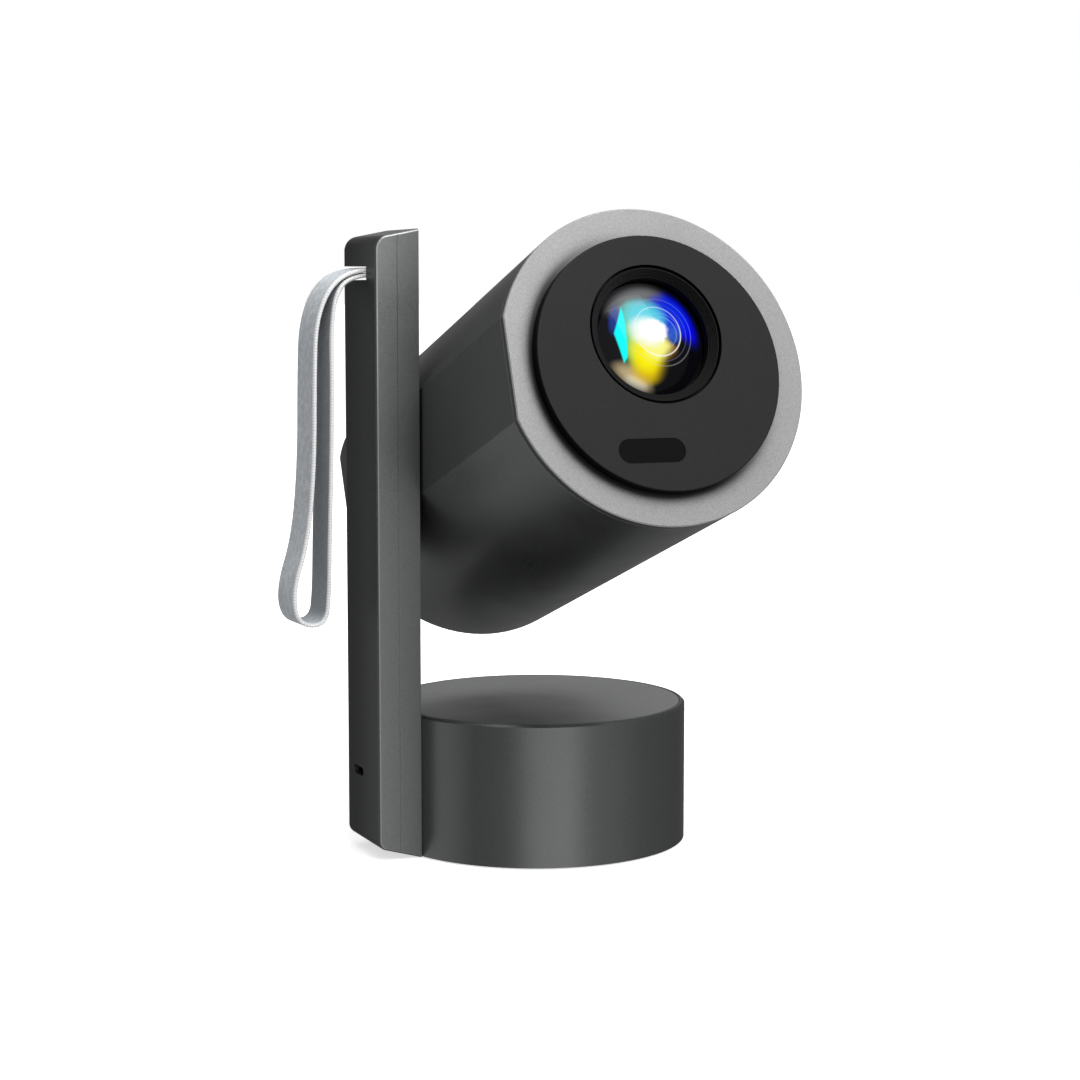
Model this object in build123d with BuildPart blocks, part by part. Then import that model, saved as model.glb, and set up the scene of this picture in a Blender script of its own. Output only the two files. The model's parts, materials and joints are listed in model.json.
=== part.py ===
"""Portable home projector: a tilting barrel carried by one upright arm on a round base.

Millimetres.  The origin is the centre of the base's underside, +Z is up, the projector
looks towards -Y and the arm stands on the -X side.
"""

from build123d import *
from math import cos, radians, sin, tan
import os

os.makedirs("parts", exist_ok=True)

# ---------------------------------------------------------------- driving dimensions
BASE_R = 47.0            # round base
BASE_H = 43.7
BASE_FLAT = 44.8         # distance of the base's side flat from the axis
BASE_WALL = 2.3
FOOT_T = 1.8             # rubber ring under the base

ARM_IN_X = -BASE_FLAT    # arm: inner face, outer face, seam between its two shells
ARM_OUT_X = -58.6
ARM_SEAM_X = -51.7
ARM_FRONT_Y = -14.8
ARM_REAR_Y = 14.8
ARM_TOP_IN, ARM_TOP_OUT = 190.6, 187.9
ARM_FOOT_OUT = 3.9
ARM_WALL = 1.6
ARM_ROUND = 4.5          # rounding of the arm's outer top corner
ARM_SOFT = 3.0           # its outer foot corner and its rear edges
EDGE = 0.8               # small rounding of the visible edges

PIVOT_Z = 122.2          # height of the tilt axis
HEAD_TILT = 19.5         # the barrel looks up by this angle at rest
HEAD_R = 46.7
HEAD_FLAT = 44.3
HEAD_WALL = 2.0
HEAD_FRONT = 87.2        # ring face, ahead of the tilt axis
HEAD_BACK = -57.1        # rear end of the shell
RING_T = 2.5
RING_EDGE = 0.35
RING_IN_R = 36.0
PLATE_R = 37.4
PLATE_T = 3.4
LENS_UP = 8.2            # lens axis above the barrel's axis
LENS_HOLE_R = 20.4
GLASS_R = 16.9
FOCUS_TRAVEL = 0.8       # lens cell, each way
WINDOW_W, WINDOW_H = 20.7, 7.0
WINDOW_X, WINDOW_Y = -6.8, -25.6

SHAFT_R = 4.5            # hollow hinge shaft
SHAFT_BORE_R = 3.0
FIT = 0.05               # radial running clearance
SCREW_R = 1.5
SCREW_HEAD_R = 2.7
SCREW_HEAD_T = 2.0
LOW_HEAD_T = 1.2         # head of the screws that lie flush in a recess
HEX_R = 1.4              # hexagon in every screw head

STRAP_W, STRAP_T = 16.0, 1.3
STRAP_Y = 1.6            # middle of the strap's width
SLOT_LOW, SLOT_HIGH = 175.4, 179.6
SLOT_FRONT_Y = -7.0
SLOT_END_X = -48.2

HARNESS_R = 1.2
HARNESS_HOLE_R = 3.2
PORT_Y, PORT_Z = 3.1, 25.0
PORT_W, PORT_H = 8.4, 2.7

# The barrel's own frame: origin on the tilt axis, z along the optical axis to the front,
# y up across its face.
HEAD = Plane(
    origin=(0, 0, PIVOT_Z),
    x_dir=(1, 0, 0),
    z_dir=(0, -cos(radians(HEAD_TILT)), sin(radians(HEAD_TILT))),
)


def across(x):
    """Plane square to X at x, with its own x up and y forward in the barrel's frame."""
    return Plane(origin=(x, 0, PIVOT_Z), x_dir=HEAD.y_dir, z_dir=(1, 0, 0))


def d_section(radius, flat):
    """Round section with one flat at x = -flat, drawn in the open sketch."""
    Circle(radius)
    with Locations((-flat - radius, 0)):
        Rectangle(2 * radius, 2 * radius, mode=Mode.SUBTRACT)


def on_circle(radius, angles):
    """Places on a circle about the origin, at these angles in degrees."""
    return [(radius * cos(radians(angle)), radius * sin(radians(angle))) for angle in angles]


def hinge_ring(x_from, x_to, outer, inner):
    """A ring about the tilt axis between two X positions."""
    with BuildPart() as ring:
        with BuildSketch(Plane.YZ.offset(x_from)):
            with Locations((0, PIVOT_Z)):
                Circle(outer)
                Circle(inner, mode=Mode.SUBTRACT)
        extrude(amount=x_to - x_from)
    return ring


# ================================================================ base
BASE_INNER = BASE_R - BASE_WALL - 0.1
BASE_INNER_FLAT = BASE_FLAT - BASE_WALL
LID_T = 1.6
LID_R, LID_FLAT = BASE_R - 1.6, BASE_FLAT - 1.6
BASE_SCREWS = on_circle(41.0, (0, 75, 150, 210, 285))
BASE_SCREW_L = 9.0
BOSS_R, BOSS_H = 4.2, 14.0
SHELL_FOOT = 0.4         # the shell stops this far above the floor
FLOOR_LOW, FLOOR_HIGH = 1.0, 3.4
ARM_SCREWS = [(y, z) for y in (-7.0, 5.0) for z in (12.0, 34.0)]
HARNESS_Y, HARNESS_Z = -6.0, 20.0
PAD_X = -39.5            # inner face of the thick pad behind the flat
PAD_Y, PAD_Z = -1.0, 23.0
PAD_W, PAD_H = 20.0, 30.0

with BuildPart() as base_shell:
    with BuildSketch(Plane.XY.offset(SHELL_FOOT)):
        d_section(BASE_R, BASE_FLAT)
    extrude(amount=BASE_H - SHELL_FOOT)
    chamfer(base_shell.faces().sort_by(Axis.Z)[-1].edges(), 0.7)
    with BuildSketch(Plane.XY.offset(SHELL_FOOT)):
        d_section(BASE_INNER, BASE_INNER_FLAT)
    extrude(amount=BASE_H - LID_T - SHELL_FOOT, mode=Mode.SUBTRACT)
    with BuildSketch(Plane.XY.offset(BASE_H - LID_T)):
        d_section(LID_R, LID_FLAT)
    extrude(amount=LID_T, mode=Mode.SUBTRACT)
    with BuildSketch(Plane.XY.offset(FLOOR_HIGH)):
        with Locations(*BASE_SCREWS):
            Circle(BOSS_R)
    extrude(amount=BOSS_H)
    with BuildSketch(Plane.XY.offset(FLOOR_HIGH)):
        with Locations(*BASE_SCREWS):
            Circle(SCREW_R)
    extrude(amount=BASE_SCREW_L, mode=Mode.SUBTRACT)
    with BuildSketch(Plane.YZ.offset(-BASE_INNER_FLAT - 0.5)):
        with Locations((PAD_Y, PAD_Z)):
            Rectangle(PAD_W, PAD_H)
    extrude(amount=PAD_X + BASE_INNER_FLAT + 0.5)
    with BuildSketch(Plane.YZ.offset(-BASE_FLAT)):
        with Locations(*ARM_SCREWS):
            Circle(SCREW_R)
        with Locations((HARNESS_Y, HARNESS_Z)):
            Circle(HARNESS_HOLE_R)
    extrude(amount=BASE_FLAT + PAD_X, mode=Mode.SUBTRACT)
base_shell.part.label = "base_shell"
export_step(base_shell.part, "parts/base_shell.step")

with BuildPart() as base_top:
    with BuildSketch(Plane.XY.offset(BASE_H - LID_T)):
        d_section(LID_R, LID_FLAT)
    extrude(amount=LID_T)
    chamfer(base_top.faces().sort_by(Axis.Z)[-1].edges(), 0.25)
base_top.part.label = "base_top"
export_step(base_top.part, "parts/base_top.step")

FOOT_OUT_R, FOOT_IN_R = 38.0, 30.0
INSERT_R, INSERT_H = 5.0, 9.0
INSERT_FLANGE_R, INSERT_FLANGE_T = 6.5, 1.6
TRIPOD_R = 2.6           # wall radius of the 1/4 inch thread

with BuildPart() as base_bottom_plate:
    with BuildSketch(Plane.XY.offset(FLOOR_LOW)):
        d_section(BASE_INNER, BASE_INNER_FLAT)
    extrude(amount=FLOOR_HIGH - FLOOR_LOW)
    with BuildSketch(Plane.XY.offset(FLOOR_LOW)):
        Circle(FOOT_OUT_R)
        Circle(FOOT_IN_R, mode=Mode.SUBTRACT)
    extrude(amount=FOOT_T - FLOOR_LOW, mode=Mode.SUBTRACT)
    with BuildSketch(Plane.XY.offset(FLOOR_LOW)):
        Circle(INSERT_R)
        with Locations(*BASE_SCREWS):
            Circle(SCREW_R)
    extrude(amount=FLOOR_HIGH - FLOOR_LOW, mode=Mode.SUBTRACT)
    with BuildSketch(Plane.XY.offset(FLOOR_LOW)):
        with Locations(*BASE_SCREWS):
            Circle(SCREW_HEAD_R)
    extrude(amount=LOW_HEAD_T, mode=Mode.SUBTRACT)
base_bottom_plate.part.label = "base_bottom_plate"
export_step(base_bottom_plate.part, "parts/base_bottom_plate.step")

with BuildPart() as base_screws:
    with BuildSketch(Plane.XY.offset(FLOOR_LOW)):
        with Locations(*BASE_SCREWS):
            Circle(SCREW_HEAD_R)
    extrude(amount=LOW_HEAD_T)
    with BuildSketch(Plane.XY.offset(FLOOR_LOW + LOW_HEAD_T)):
        with Locations(*BASE_SCREWS):
            Circle(SCREW_R)
    extrude(amount=BASE_SCREW_L)
    with BuildSketch(Plane.XY.offset(FLOOR_LOW)):
        with Locations(*BASE_SCREWS):
            RegularPolygon(HEX_R, 6)
    extrude(amount=0.8, mode=Mode.SUBTRACT)
base_screws.part.label = "base_screws"
export_step(base_screws.part, "parts/base_screws.step")

with BuildPart() as foot_ring:
    with BuildSketch(Plane.XY):
        Circle(FOOT_OUT_R)
        Circle(FOOT_IN_R, mode=Mode.SUBTRACT)
    extrude(amount=FOOT_T)
    chamfer(foot_ring.faces().sort_by(Axis.Z)[0].edges(), 0.4)
foot_ring.part.label = "foot_ring"
export_step(foot_ring.part, "parts/foot_ring.step")

with BuildPart() as tripod_insert:
    with BuildSketch(Plane.XY):
        Circle(INSERT_R)
    extrude(amount=INSERT_H)
    with BuildSketch(Plane.XY.offset(FLOOR_HIGH)):
        Circle(INSERT_FLANGE_R)
    extrude(amount=INSERT_FLANGE_T)
    with BuildSketch(Plane.XY):
        Circle(TRIPOD_R)
    extrude(amount=INSERT_H, mode=Mode.SUBTRACT)
tripod_insert.part.label = "tripod_insert"
export_step(tripod_insert.part, "parts/tripod_insert.step")

BALLAST_R, BALLAST_T = 36.0, 4.0
BALLAST_HOLE_R = 7.5
with BuildPart() as ballast_plate:
    with BuildSketch(Plane.XY.offset(FLOOR_HIGH)):
        Circle(BALLAST_R)
        Circle(BALLAST_HOLE_R, mode=Mode.SUBTRACT)
    extrude(amount=BALLAST_T)
ballast_plate.part.label = "ballast_plate"
export_step(ballast_plate.part, "parts/ballast_plate.step")

CELL_R, CELL_L = 9.1, 65.0
CELL_PITCH = 18.6
CRADLE_Z = FLOOR_HIGH + BALLAST_T
CRADLE_FLOOR, CRADLE_W = 2.0, 56.0
CRADLE_END_W, CRADLE_END_T = 44.0, 1.4
CELL_Z = CRADLE_Z + CRADLE_FLOOR + CELL_R + 0.1
CELL_END = CELL_L / 2 + 0.2
POWER_BOARD_Z = 29.0
POWER_BOARD_W = 46.0
BOARD_T = 1.6            # every circuit board of the battery and the barrel
CHIP_H, CAPACITOR_H = 4.0, 7.0

with BuildPart() as battery_cradle:
    with BuildSketch(Plane.XY.offset(CRADLE_Z)):
        Rectangle(CRADLE_W, 2 * CELL_END)
    extrude(amount=CRADLE_FLOOR)
    for side in (-1, 1):
        with BuildSketch(Plane.XY.offset(CRADLE_Z)):
            with Locations((0, side * (CELL_END + CRADLE_END_T / 2))):
                Rectangle(CRADLE_END_W, CRADLE_END_T)
        extrude(amount=POWER_BOARD_Z - CRADLE_Z)
    with BuildSketch(Plane.XY.offset(CRADLE_Z)):
        Circle(BALLAST_HOLE_R + 0.5)
    extrude(amount=CRADLE_FLOOR, mode=Mode.SUBTRACT)
battery_cradle.part.label = "battery_cradle"
export_step(battery_cradle.part, "parts/battery_cradle.step")

with BuildPart() as battery_cells:
    for place in (-CELL_PITCH, 0, CELL_PITCH):
        with BuildSketch(Plane.XZ.offset(-CELL_L / 2)):
            with Locations((place, CELL_Z)):
                Circle(CELL_R)
        extrude(amount=CELL_L)
battery_cells.part.label = "battery_cells"
export_step(battery_cells.part, "parts/battery_cells.step")

with BuildPart() as power_board:
    with BuildSketch(Plane.XY.offset(POWER_BOARD_Z)):
        Rectangle(POWER_BOARD_W, 2 * CELL_END + 2.4)
    extrude(amount=BOARD_T)
    with BuildSketch(Plane.XY.offset(POWER_BOARD_Z + BOARD_T)):
        with GridLocations(16, 20, 2, 2):
            Rectangle(8, 8)
    extrude(amount=CHIP_H)
    with BuildSketch(Plane.XY.offset(POWER_BOARD_Z + BOARD_T)):
        with Locations((0, 0), (0, 26)):
            Circle(4)
    extrude(amount=CAPACITOR_H)
power_board.part.label = "power_board"
export_step(power_board.part, "parts/power_board.step")

# ================================================================ arm
CAVITY_LOW, CAVITY_HIGH = 8.0, 170.0
CAVITY_SIDE = 12.6       # half width of the hollow, in Y
BRACKET_T = 2.0
BRACKET_W, BRACKET_H, BRACKET_Z = 22.0, 128.0, 73.0
BRACKET_X = ARM_IN_X - ARM_WALL
FLANGE_X = BRACKET_X - BRACKET_T

with BuildPart() as arm_block:
    with BuildSketch(Plane.XZ.offset(-ARM_FRONT_Y)):
        with BuildLine():
            FilletPolyline(
                (ARM_IN_X, ARM_TOP_IN),
                (ARM_OUT_X, ARM_TOP_OUT),
                (ARM_OUT_X, ARM_FOOT_OUT),
                (ARM_IN_X, 0),
                radius=[ARM_ROUND, ARM_SOFT],
            )
            Line((ARM_IN_X, 0), (ARM_IN_X, ARM_TOP_IN))
        make_face()
    extrude(amount=ARM_FRONT_Y - ARM_REAR_Y)
    rear_edges = arm_block.faces().sort_by(Axis.Y)[-1].edges().sort_by(Axis.X)[:-1]
    fillet(rear_edges, ARM_SOFT - 0.1)
    front_edges = arm_block.faces().sort_by(Axis.Y)[0].edges().sort_by(Axis.X)[:-1]
    fillet(front_edges, EDGE)
    with BuildSketch(Plane.YZ.offset(ARM_OUT_X + ARM_WALL)):
        with Locations((0, (CAVITY_LOW + CAVITY_HIGH) / 2)):
            RectangleRounded(2 * CAVITY_SIDE, CAVITY_HIGH - CAVITY_LOW, 2)
    extrude(amount=ARM_IN_X - ARM_OUT_X - 2 * ARM_WALL, mode=Mode.SUBTRACT)
    with BuildSketch(Plane.YZ.offset(SLOT_END_X)):
        with Locations(((SLOT_FRONT_Y + ARM_REAR_Y + 2) / 2, (SLOT_LOW + SLOT_HIGH) / 2)):
            Rectangle(ARM_REAR_Y + 2 - SLOT_FRONT_Y, SLOT_HIGH - SLOT_LOW)
    extrude(amount=ARM_OUT_X - 1 - SLOT_END_X, mode=Mode.SUBTRACT)

with BuildPart() as arm_outer_shell:
    add(arm_block.part)
    split(bisect_by=Plane.YZ.offset(ARM_SEAM_X), keep=Keep.BOTTOM)
    with BuildSketch(Plane.YZ.offset(ARM_OUT_X - 1)):
        with Locations((PORT_Y, PORT_Z)):
            SlotOverall(PORT_W, PORT_H)
    extrude(amount=ARM_WALL + 1, mode=Mode.SUBTRACT)
arm_outer_shell.part.label = "arm_outer_shell"
export_step(arm_outer_shell.part, "parts/arm_outer_shell.step")

with BuildPart() as arm_inner_shell:
    add(arm_block.part)
    split(bisect_by=Plane.YZ.offset(ARM_SEAM_X), keep=Keep.TOP)
    with BuildSketch(Plane.YZ.offset(BRACKET_X)):
        with Locations(*ARM_SCREWS):
            Circle(SCREW_R)
        with Locations((HARNESS_Y, HARNESS_Z)):
            Circle(HARNESS_HOLE_R)
        with Locations((0, PIVOT_Z)):
            Circle(6.0)
    extrude(amount=ARM_WALL, mode=Mode.SUBTRACT)
arm_inner_shell.part.label = "arm_inner_shell"
export_step(arm_inner_shell.part, "parts/arm_inner_shell.step")

with BuildPart() as arm_bracket:
    with BuildSketch(Plane.YZ.offset(FLANGE_X)):
        with Locations((0, BRACKET_Z)):
            RectangleRounded(BRACKET_W, BRACKET_H, 4)
        with Locations(*ARM_SCREWS):
            Circle(SCREW_R, mode=Mode.SUBTRACT)
        with Locations((HARNESS_Y, HARNESS_Z)):
            Circle(HARNESS_HOLE_R, mode=Mode.SUBTRACT)
        with Locations((0, PIVOT_Z)):
            Circle(SHAFT_R, mode=Mode.SUBTRACT)
        with Locations((0, BRACKET_Z + 5)):
            SlotOverall(40, 8, rotation=90, mode=Mode.SUBTRACT)
    extrude(amount=BRACKET_T)
arm_bracket.part.label = "arm_bracket"
export_step(arm_bracket.part, "parts/arm_bracket.step")

with BuildPart() as arm_screws:
    with BuildSketch(Plane.YZ.offset(FLANGE_X - SCREW_HEAD_T)):
        with Locations(*ARM_SCREWS):
            Circle(SCREW_HEAD_R)
            RegularPolygon(HEX_R, 6, mode=Mode.SUBTRACT)
    extrude(amount=SCREW_HEAD_T)
    with BuildSketch(Plane.YZ.offset(FLANGE_X)):
        with Locations(*ARM_SCREWS):
            Circle(SCREW_R)
    extrude(amount=PAD_X - FLANGE_X - 0.5)
arm_screws.part.label = "arm_screws"
export_step(arm_screws.part, "parts/arm_screws.step")

# wedge-shaped cover on the arm's rear face, behind the hinge
COVER_TOP, COVER_FOOT = PIVOT_Z + 5.6, PIVOT_Z - 18.2
COVER_OUT = 3.5          # how far its ridge stands out behind the arm
COVER_W = ARM_IN_X - ARM_OUT_X - 0.6
with BuildPart() as hinge_cover:
    with BuildSketch(Plane.YZ.offset(ARM_OUT_X)):
        with BuildLine():
            ridge = (ARM_REAR_Y + COVER_OUT, PIVOT_Z - 1.5)
            head = (ARM_REAR_Y - ARM_SOFT, COVER_TOP)
            shoulder = (ARM_REAR_Y + 0.52 * COVER_OUT, PIVOT_Z + 1.1)
            foot = (ARM_REAR_Y - ARM_SOFT, COVER_FOOT)
            ThreePointArc(head, shoulder, ridge)
            Polyline(ridge, foot, head)
        make_face()
    extrude(amount=COVER_W)
    add(arm_block.part, mode=Mode.SUBTRACT)
    with BuildSketch(Plane.YZ.offset(ARM_OUT_X + ARM_WALL)):
        Rectangle(2 * CAVITY_SIDE + 2, 2 * CAVITY_HIGH)
    extrude(amount=ARM_IN_X - ARM_OUT_X - 2 * ARM_WALL, mode=Mode.SUBTRACT)
hinge_cover.part.label = "hinge_cover"
export_step(hinge_cover.part, "parts/hinge_cover.step")

# socket for the charging plug: thin metal sleeve with its contact tongue
SOCKET_L = 7.0
SOCKET_X = ARM_OUT_X + ARM_WALL
SLEEVE_T = 0.4
SOCKET_BACK_T = 0.6
TONGUE_W, TONGUE_T = 6.4, 0.7
TONGUE_IN = 3.0          # the tongue starts this far inside the mouth
with BuildPart() as charge_socket:
    with BuildSketch(Plane.YZ.offset(SOCKET_X)):
        with Locations((PORT_Y, PORT_Z)):
            SlotOverall(PORT_W + 2 * SLEEVE_T, PORT_H + 2 * SLEEVE_T)
            SlotOverall(PORT_W, PORT_H, mode=Mode.SUBTRACT)
    extrude(amount=SOCKET_L - SOCKET_BACK_T)
    with BuildSketch(Plane.YZ.offset(SOCKET_X + SOCKET_L - SOCKET_BACK_T)):
        with Locations((PORT_Y, PORT_Z)):
            SlotOverall(PORT_W + 2 * SLEEVE_T, PORT_H + 2 * SLEEVE_T)
    extrude(amount=SOCKET_BACK_T)
    with BuildSketch(Plane.YZ.offset(SOCKET_X + TONGUE_IN)):
        with Locations((PORT_Y, PORT_Z)):
            Rectangle(TONGUE_W, TONGUE_T)
    extrude(amount=SOCKET_L - SOCKET_BACK_T - TONGUE_IN)
charge_socket.part.label = "charge_socket"
export_step(charge_socket.part, "parts/charge_socket.step")

with BuildPart() as port_board:
    with BuildSketch(Plane.YZ.offset(SOCKET_X + SOCKET_L)):
        with Locations((PORT_Y + 1, PORT_Z)):
            Rectangle(14, 12)
    extrude(amount=1.2)
port_board.part.label = "port_board"
export_step(port_board.part, "parts/port_board.step")

# ================================================================ wrist strap
STRAP_END_X = -51.8
STRAP_ROUTE = [
    (STRAP_END_X, STRAP_Y, 178.5),
    (-60.0, STRAP_Y, 178.8),
    (-68.9, STRAP_Y, 174.6),
    (-74.0, STRAP_Y, 163.3),
    (-74.6, STRAP_Y, 146.0),
    (-74.9, STRAP_Y, 121.0),
    (-77.0, STRAP_Y, 98.0),
    (-82.2, STRAP_Y, 82.0),
    (-80.3, STRAP_Y, 72.3),
    (-71.6, STRAP_Y, 72.0),
    (-70.6, STRAP_Y, 82.0),
    (-70.3, STRAP_Y, 98.0),
    (-69.5, STRAP_Y, 121.0),
    (-69.1, STRAP_Y, 146.0),
    (-69.2, STRAP_Y, 162.0),
    (-67.2, STRAP_Y, 173.2),
    (-60.5, STRAP_Y, 177.1),
    (STRAP_END_X, STRAP_Y, 177.0),
]


def bend_radii(route):
    """Each corner's arc: 0.45 of its shorter run, divided by the tangent of half the turn."""
    points = [Vector(*point) for point in route]
    radii = []
    for before, corner, after in zip(points, points[1:], points[2:]):
        run_in, run_out = corner - before, after - corner
        half_turn = radians(run_in.get_angle(run_out)) / 2
        radii.append(0.45 * min(run_in.length, run_out.length) / tan(half_turn))
    return radii


strap_radii = bend_radii(STRAP_ROUTE)
print("strap bend radii", [round(radius, 1) for radius in strap_radii])
with BuildPart() as wrist_strap:
    with BuildLine() as strap_line:
        FilletPolyline(*STRAP_ROUTE, radius=strap_radii)
    with BuildSketch(Plane(origin=STRAP_ROUTE[0], x_dir=(0, 1, 0), z_dir=strap_line.line % 0)):
        Rectangle(STRAP_W, STRAP_T)
    sweep()
wrist_strap.part.label = "wrist_strap"
export_step(wrist_strap.part, "parts/wrist_strap.step")
strap_length = strap_line.wires()[0].length
print("strap length", round(strap_length, 1))
print("strap volume", round(wrist_strap.part.volume), round(strap_length * STRAP_W * STRAP_T))

# crimped steel bar that holds both ends of the strap at the bottom of the slot
with BuildPart() as strap_anchor:
    with BuildSketch(Plane.YZ.offset(STRAP_END_X)):
        with Locations((STRAP_Y, (SLOT_LOW + SLOT_HIGH) / 2)):
            Rectangle(STRAP_W, SLOT_HIGH - SLOT_LOW)
    extrude(amount=SLOT_END_X - STRAP_END_X)
strap_anchor.part.label = "strap_anchor"
export_step(strap_anchor.part, "parts/strap_anchor.step")

# ================================================================ wiring through the arm
HARNESS_X = -53.5
HARNESS_ROUTE = [
    (-36.0, HARNESS_Y, HARNESS_Z),
    (HARNESS_X, HARNESS_Y, HARNESS_Z),
    (HARNESS_X, -5.0, 54.0),
    (HARNESS_X, -1.0, 88.0),
    (HARNESS_X, 0.0, PIVOT_Z),
    (-36.0, 0.0, PIVOT_Z),
]
harness_radii = bend_radii(HARNESS_ROUTE)
print("harness bend radii", [round(radius, 1) for radius in harness_radii])
with BuildPart() as arm_harness:
    with BuildLine() as harness_line:
        FilletPolyline(*HARNESS_ROUTE, radius=harness_radii)
    with BuildSketch(Plane(origin=HARNESS_ROUTE[0], z_dir=harness_line.line % 0)):
        Circle(HARNESS_R)
    sweep()
arm_harness.part.label = "arm_harness"
export_step(arm_harness.part, "parts/arm_harness.step")

# ================================================================ hinge
HINGE_PLATE_T = 3.0
HEAD_INNER_X = -(HEAD_FLAT - HEAD_WALL)
PLATE_END_X = HEAD_INNER_X + HINGE_PLATE_T
BUSH_R = 5.8
HINGE_HEAD_R = 8.0       # shaft head, bushing flange and friction washer
SHAFT_HEAD_T = 1.8
FLANGE_T = 1.0           # flange of the bushing
WASHER_END_X = PLATE_END_X + 2.0
NUT_X = PLATE_END_X + 3.3
SHAFT_END_X = NUT_X + 4.0

with BuildPart() as hinge_shaft:
    with BuildSketch(Plane.YZ.offset(FLANGE_X - SHAFT_HEAD_T)):
        with Locations((0, PIVOT_Z)):
            Circle(HINGE_HEAD_R)
    extrude(amount=SHAFT_HEAD_T)
    with BuildSketch(Plane.YZ.offset(FLANGE_X)):
        with Locations((0, PIVOT_Z)):
            Circle(SHAFT_R)
    extrude(amount=SHAFT_END_X - FLANGE_X)
    with BuildSketch(Plane.YZ.offset(FLANGE_X - SHAFT_HEAD_T)):
        with Locations((0, PIVOT_Z)):
            Circle(SHAFT_BORE_R)
    extrude(amount=SHAFT_END_X - FLANGE_X + SHAFT_HEAD_T, mode=Mode.SUBTRACT)
hinge_shaft.part.label = "hinge_shaft"
export_step(hinge_shaft.part, "parts/hinge_shaft.step")

hinge_spacer = hinge_ring(BRACKET_X, HEAD_INNER_X - FIT, BUSH_R, SHAFT_R)
hinge_spacer.part.label = "hinge_spacer"
export_step(hinge_spacer.part, "parts/hinge_spacer.step")

with BuildPart() as hinge_bushing:
    with BuildSketch(Plane.YZ.offset(HEAD_INNER_X)):
        with Locations((0, PIVOT_Z)):
            Circle(BUSH_R)
    extrude(amount=HINGE_PLATE_T)
    with BuildSketch(Plane.YZ.offset(PLATE_END_X)):
        with Locations((0, PIVOT_Z)):
            Circle(HINGE_HEAD_R)
    extrude(amount=FLANGE_T)
    with BuildSketch(Plane.YZ.offset(HEAD_INNER_X)):
        with Locations((0, PIVOT_Z)):
            Circle(SHAFT_R + FIT)
    extrude(amount=HINGE_PLATE_T + FLANGE_T, mode=Mode.SUBTRACT)
hinge_bushing.part.label = "hinge_bushing"
export_step(hinge_bushing.part, "parts/hinge_bushing.step")

friction_washer = hinge_ring(PLATE_END_X + FLANGE_T + FIT, WASHER_END_X, HINGE_HEAD_R, SHAFT_R)
friction_washer.part.label = "friction_washer"
export_step(friction_washer.part, "parts/friction_washer.step")

with BuildPart() as spring_washer:
    with BuildSketch(Plane.YZ.offset(WASHER_END_X)):
        with Locations((0, PIVOT_Z)):
            Circle(HINGE_HEAD_R - 0.4)
            Circle(SHAFT_R, mode=Mode.SUBTRACT)
    extrude(amount=NUT_X - WASHER_END_X)
    chamfer(spring_washer.faces().sort_by(Axis.X)[-1].edges().sort_by(SortBy.RADIUS)[-1], 0.8)
spring_washer.part.label = "spring_washer"
export_step(spring_washer.part, "parts/spring_washer.step")

with BuildPart() as hinge_nut:
    with BuildSketch(Plane.YZ.offset(NUT_X)):
        with Locations((0, PIVOT_Z)):
            RegularPolygon(6.5, 6, major_radius=False)
            Circle(SHAFT_R, mode=Mode.SUBTRACT)
    extrude(amount=3.4)
hinge_nut.part.label = "hinge_nut"
export_step(hinge_nut.part, "parts/hinge_nut.step")

HINGE_FIX_UP, HINGE_FIX_ALONG = 16.0, 28.0      # spacing of the plate's four screws
with BuildPart() as head_hinge_plate:
    with BuildSketch(across(HEAD_INNER_X)):
        RectangleRounded(26, 40, 4)
        Circle(BUSH_R, mode=Mode.SUBTRACT)
        with GridLocations(HINGE_FIX_UP, HINGE_FIX_ALONG, 2, 2):
            Circle(SCREW_R, mode=Mode.SUBTRACT)
    extrude(amount=HINGE_PLATE_T)
head_hinge_plate.part.label = "head_hinge_plate"
export_step(head_hinge_plate.part, "parts/head_hinge_plate.step")

with BuildPart() as hinge_plate_screws:
    with BuildSketch(across(PLATE_END_X)):
        with GridLocations(HINGE_FIX_UP, HINGE_FIX_ALONG, 2, 2):
            Circle(SCREW_HEAD_R)
            RegularPolygon(HEX_R, 6, mode=Mode.SUBTRACT)
    extrude(amount=SCREW_HEAD_T)
    with BuildSketch(across(HEAD_INNER_X)):
        with GridLocations(HINGE_FIX_UP, HINGE_FIX_ALONG, 2, 2):
            Circle(SCREW_R)
    extrude(amount=HINGE_PLATE_T)
hinge_plate_screws.part.label = "hinge_plate_screws"
export_step(hinge_plate_screws.part, "parts/hinge_plate_screws.step")

# ================================================================ barrel
SHELL_FRONT = HEAD_FRONT - RING_T
INNER_R = HEAD_R - HEAD_WALL
INNER_FLAT = HEAD_FLAT - HEAD_WALL
CAP_BACK = HEAD_BACK + 0.6       # the rear cap sits a little inside the shell's end
CAP_T = 2.5
CAP_IN = CAP_BACK + CAP_T
REAR_BOSS_R, REAR_BOSS_H = 4.8, 11.0
REAR_SCREWS = on_circle(40.2, (45, 135, 225, 315))
REAR_SCREW_L = 9.0
BOARD_TOP_Y = -30.0              # main board
BOARD_X, BOARD_FROM, BOARD_TO = 25.0, -22.0, 62.0
BOARD_POSTS = [(x, -along) for x in (-21, 21) for along in (-17, 57)]
POST_R, POST_H = 2.5, 8.6
HINGE_HOLE_R = 6.6
SLOT_PITCH, SLOT_W = 5, 1.8      # air intake and sound slots

# plane of the main board's underside: x across, y towards the back of the barrel
BOARD_PLANE = Plane(
    origin=HEAD.origin + HEAD.y_dir * (BOARD_TOP_Y - BOARD_T),
    x_dir=(1, 0, 0),
    z_dir=HEAD.y_dir,
)

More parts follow.
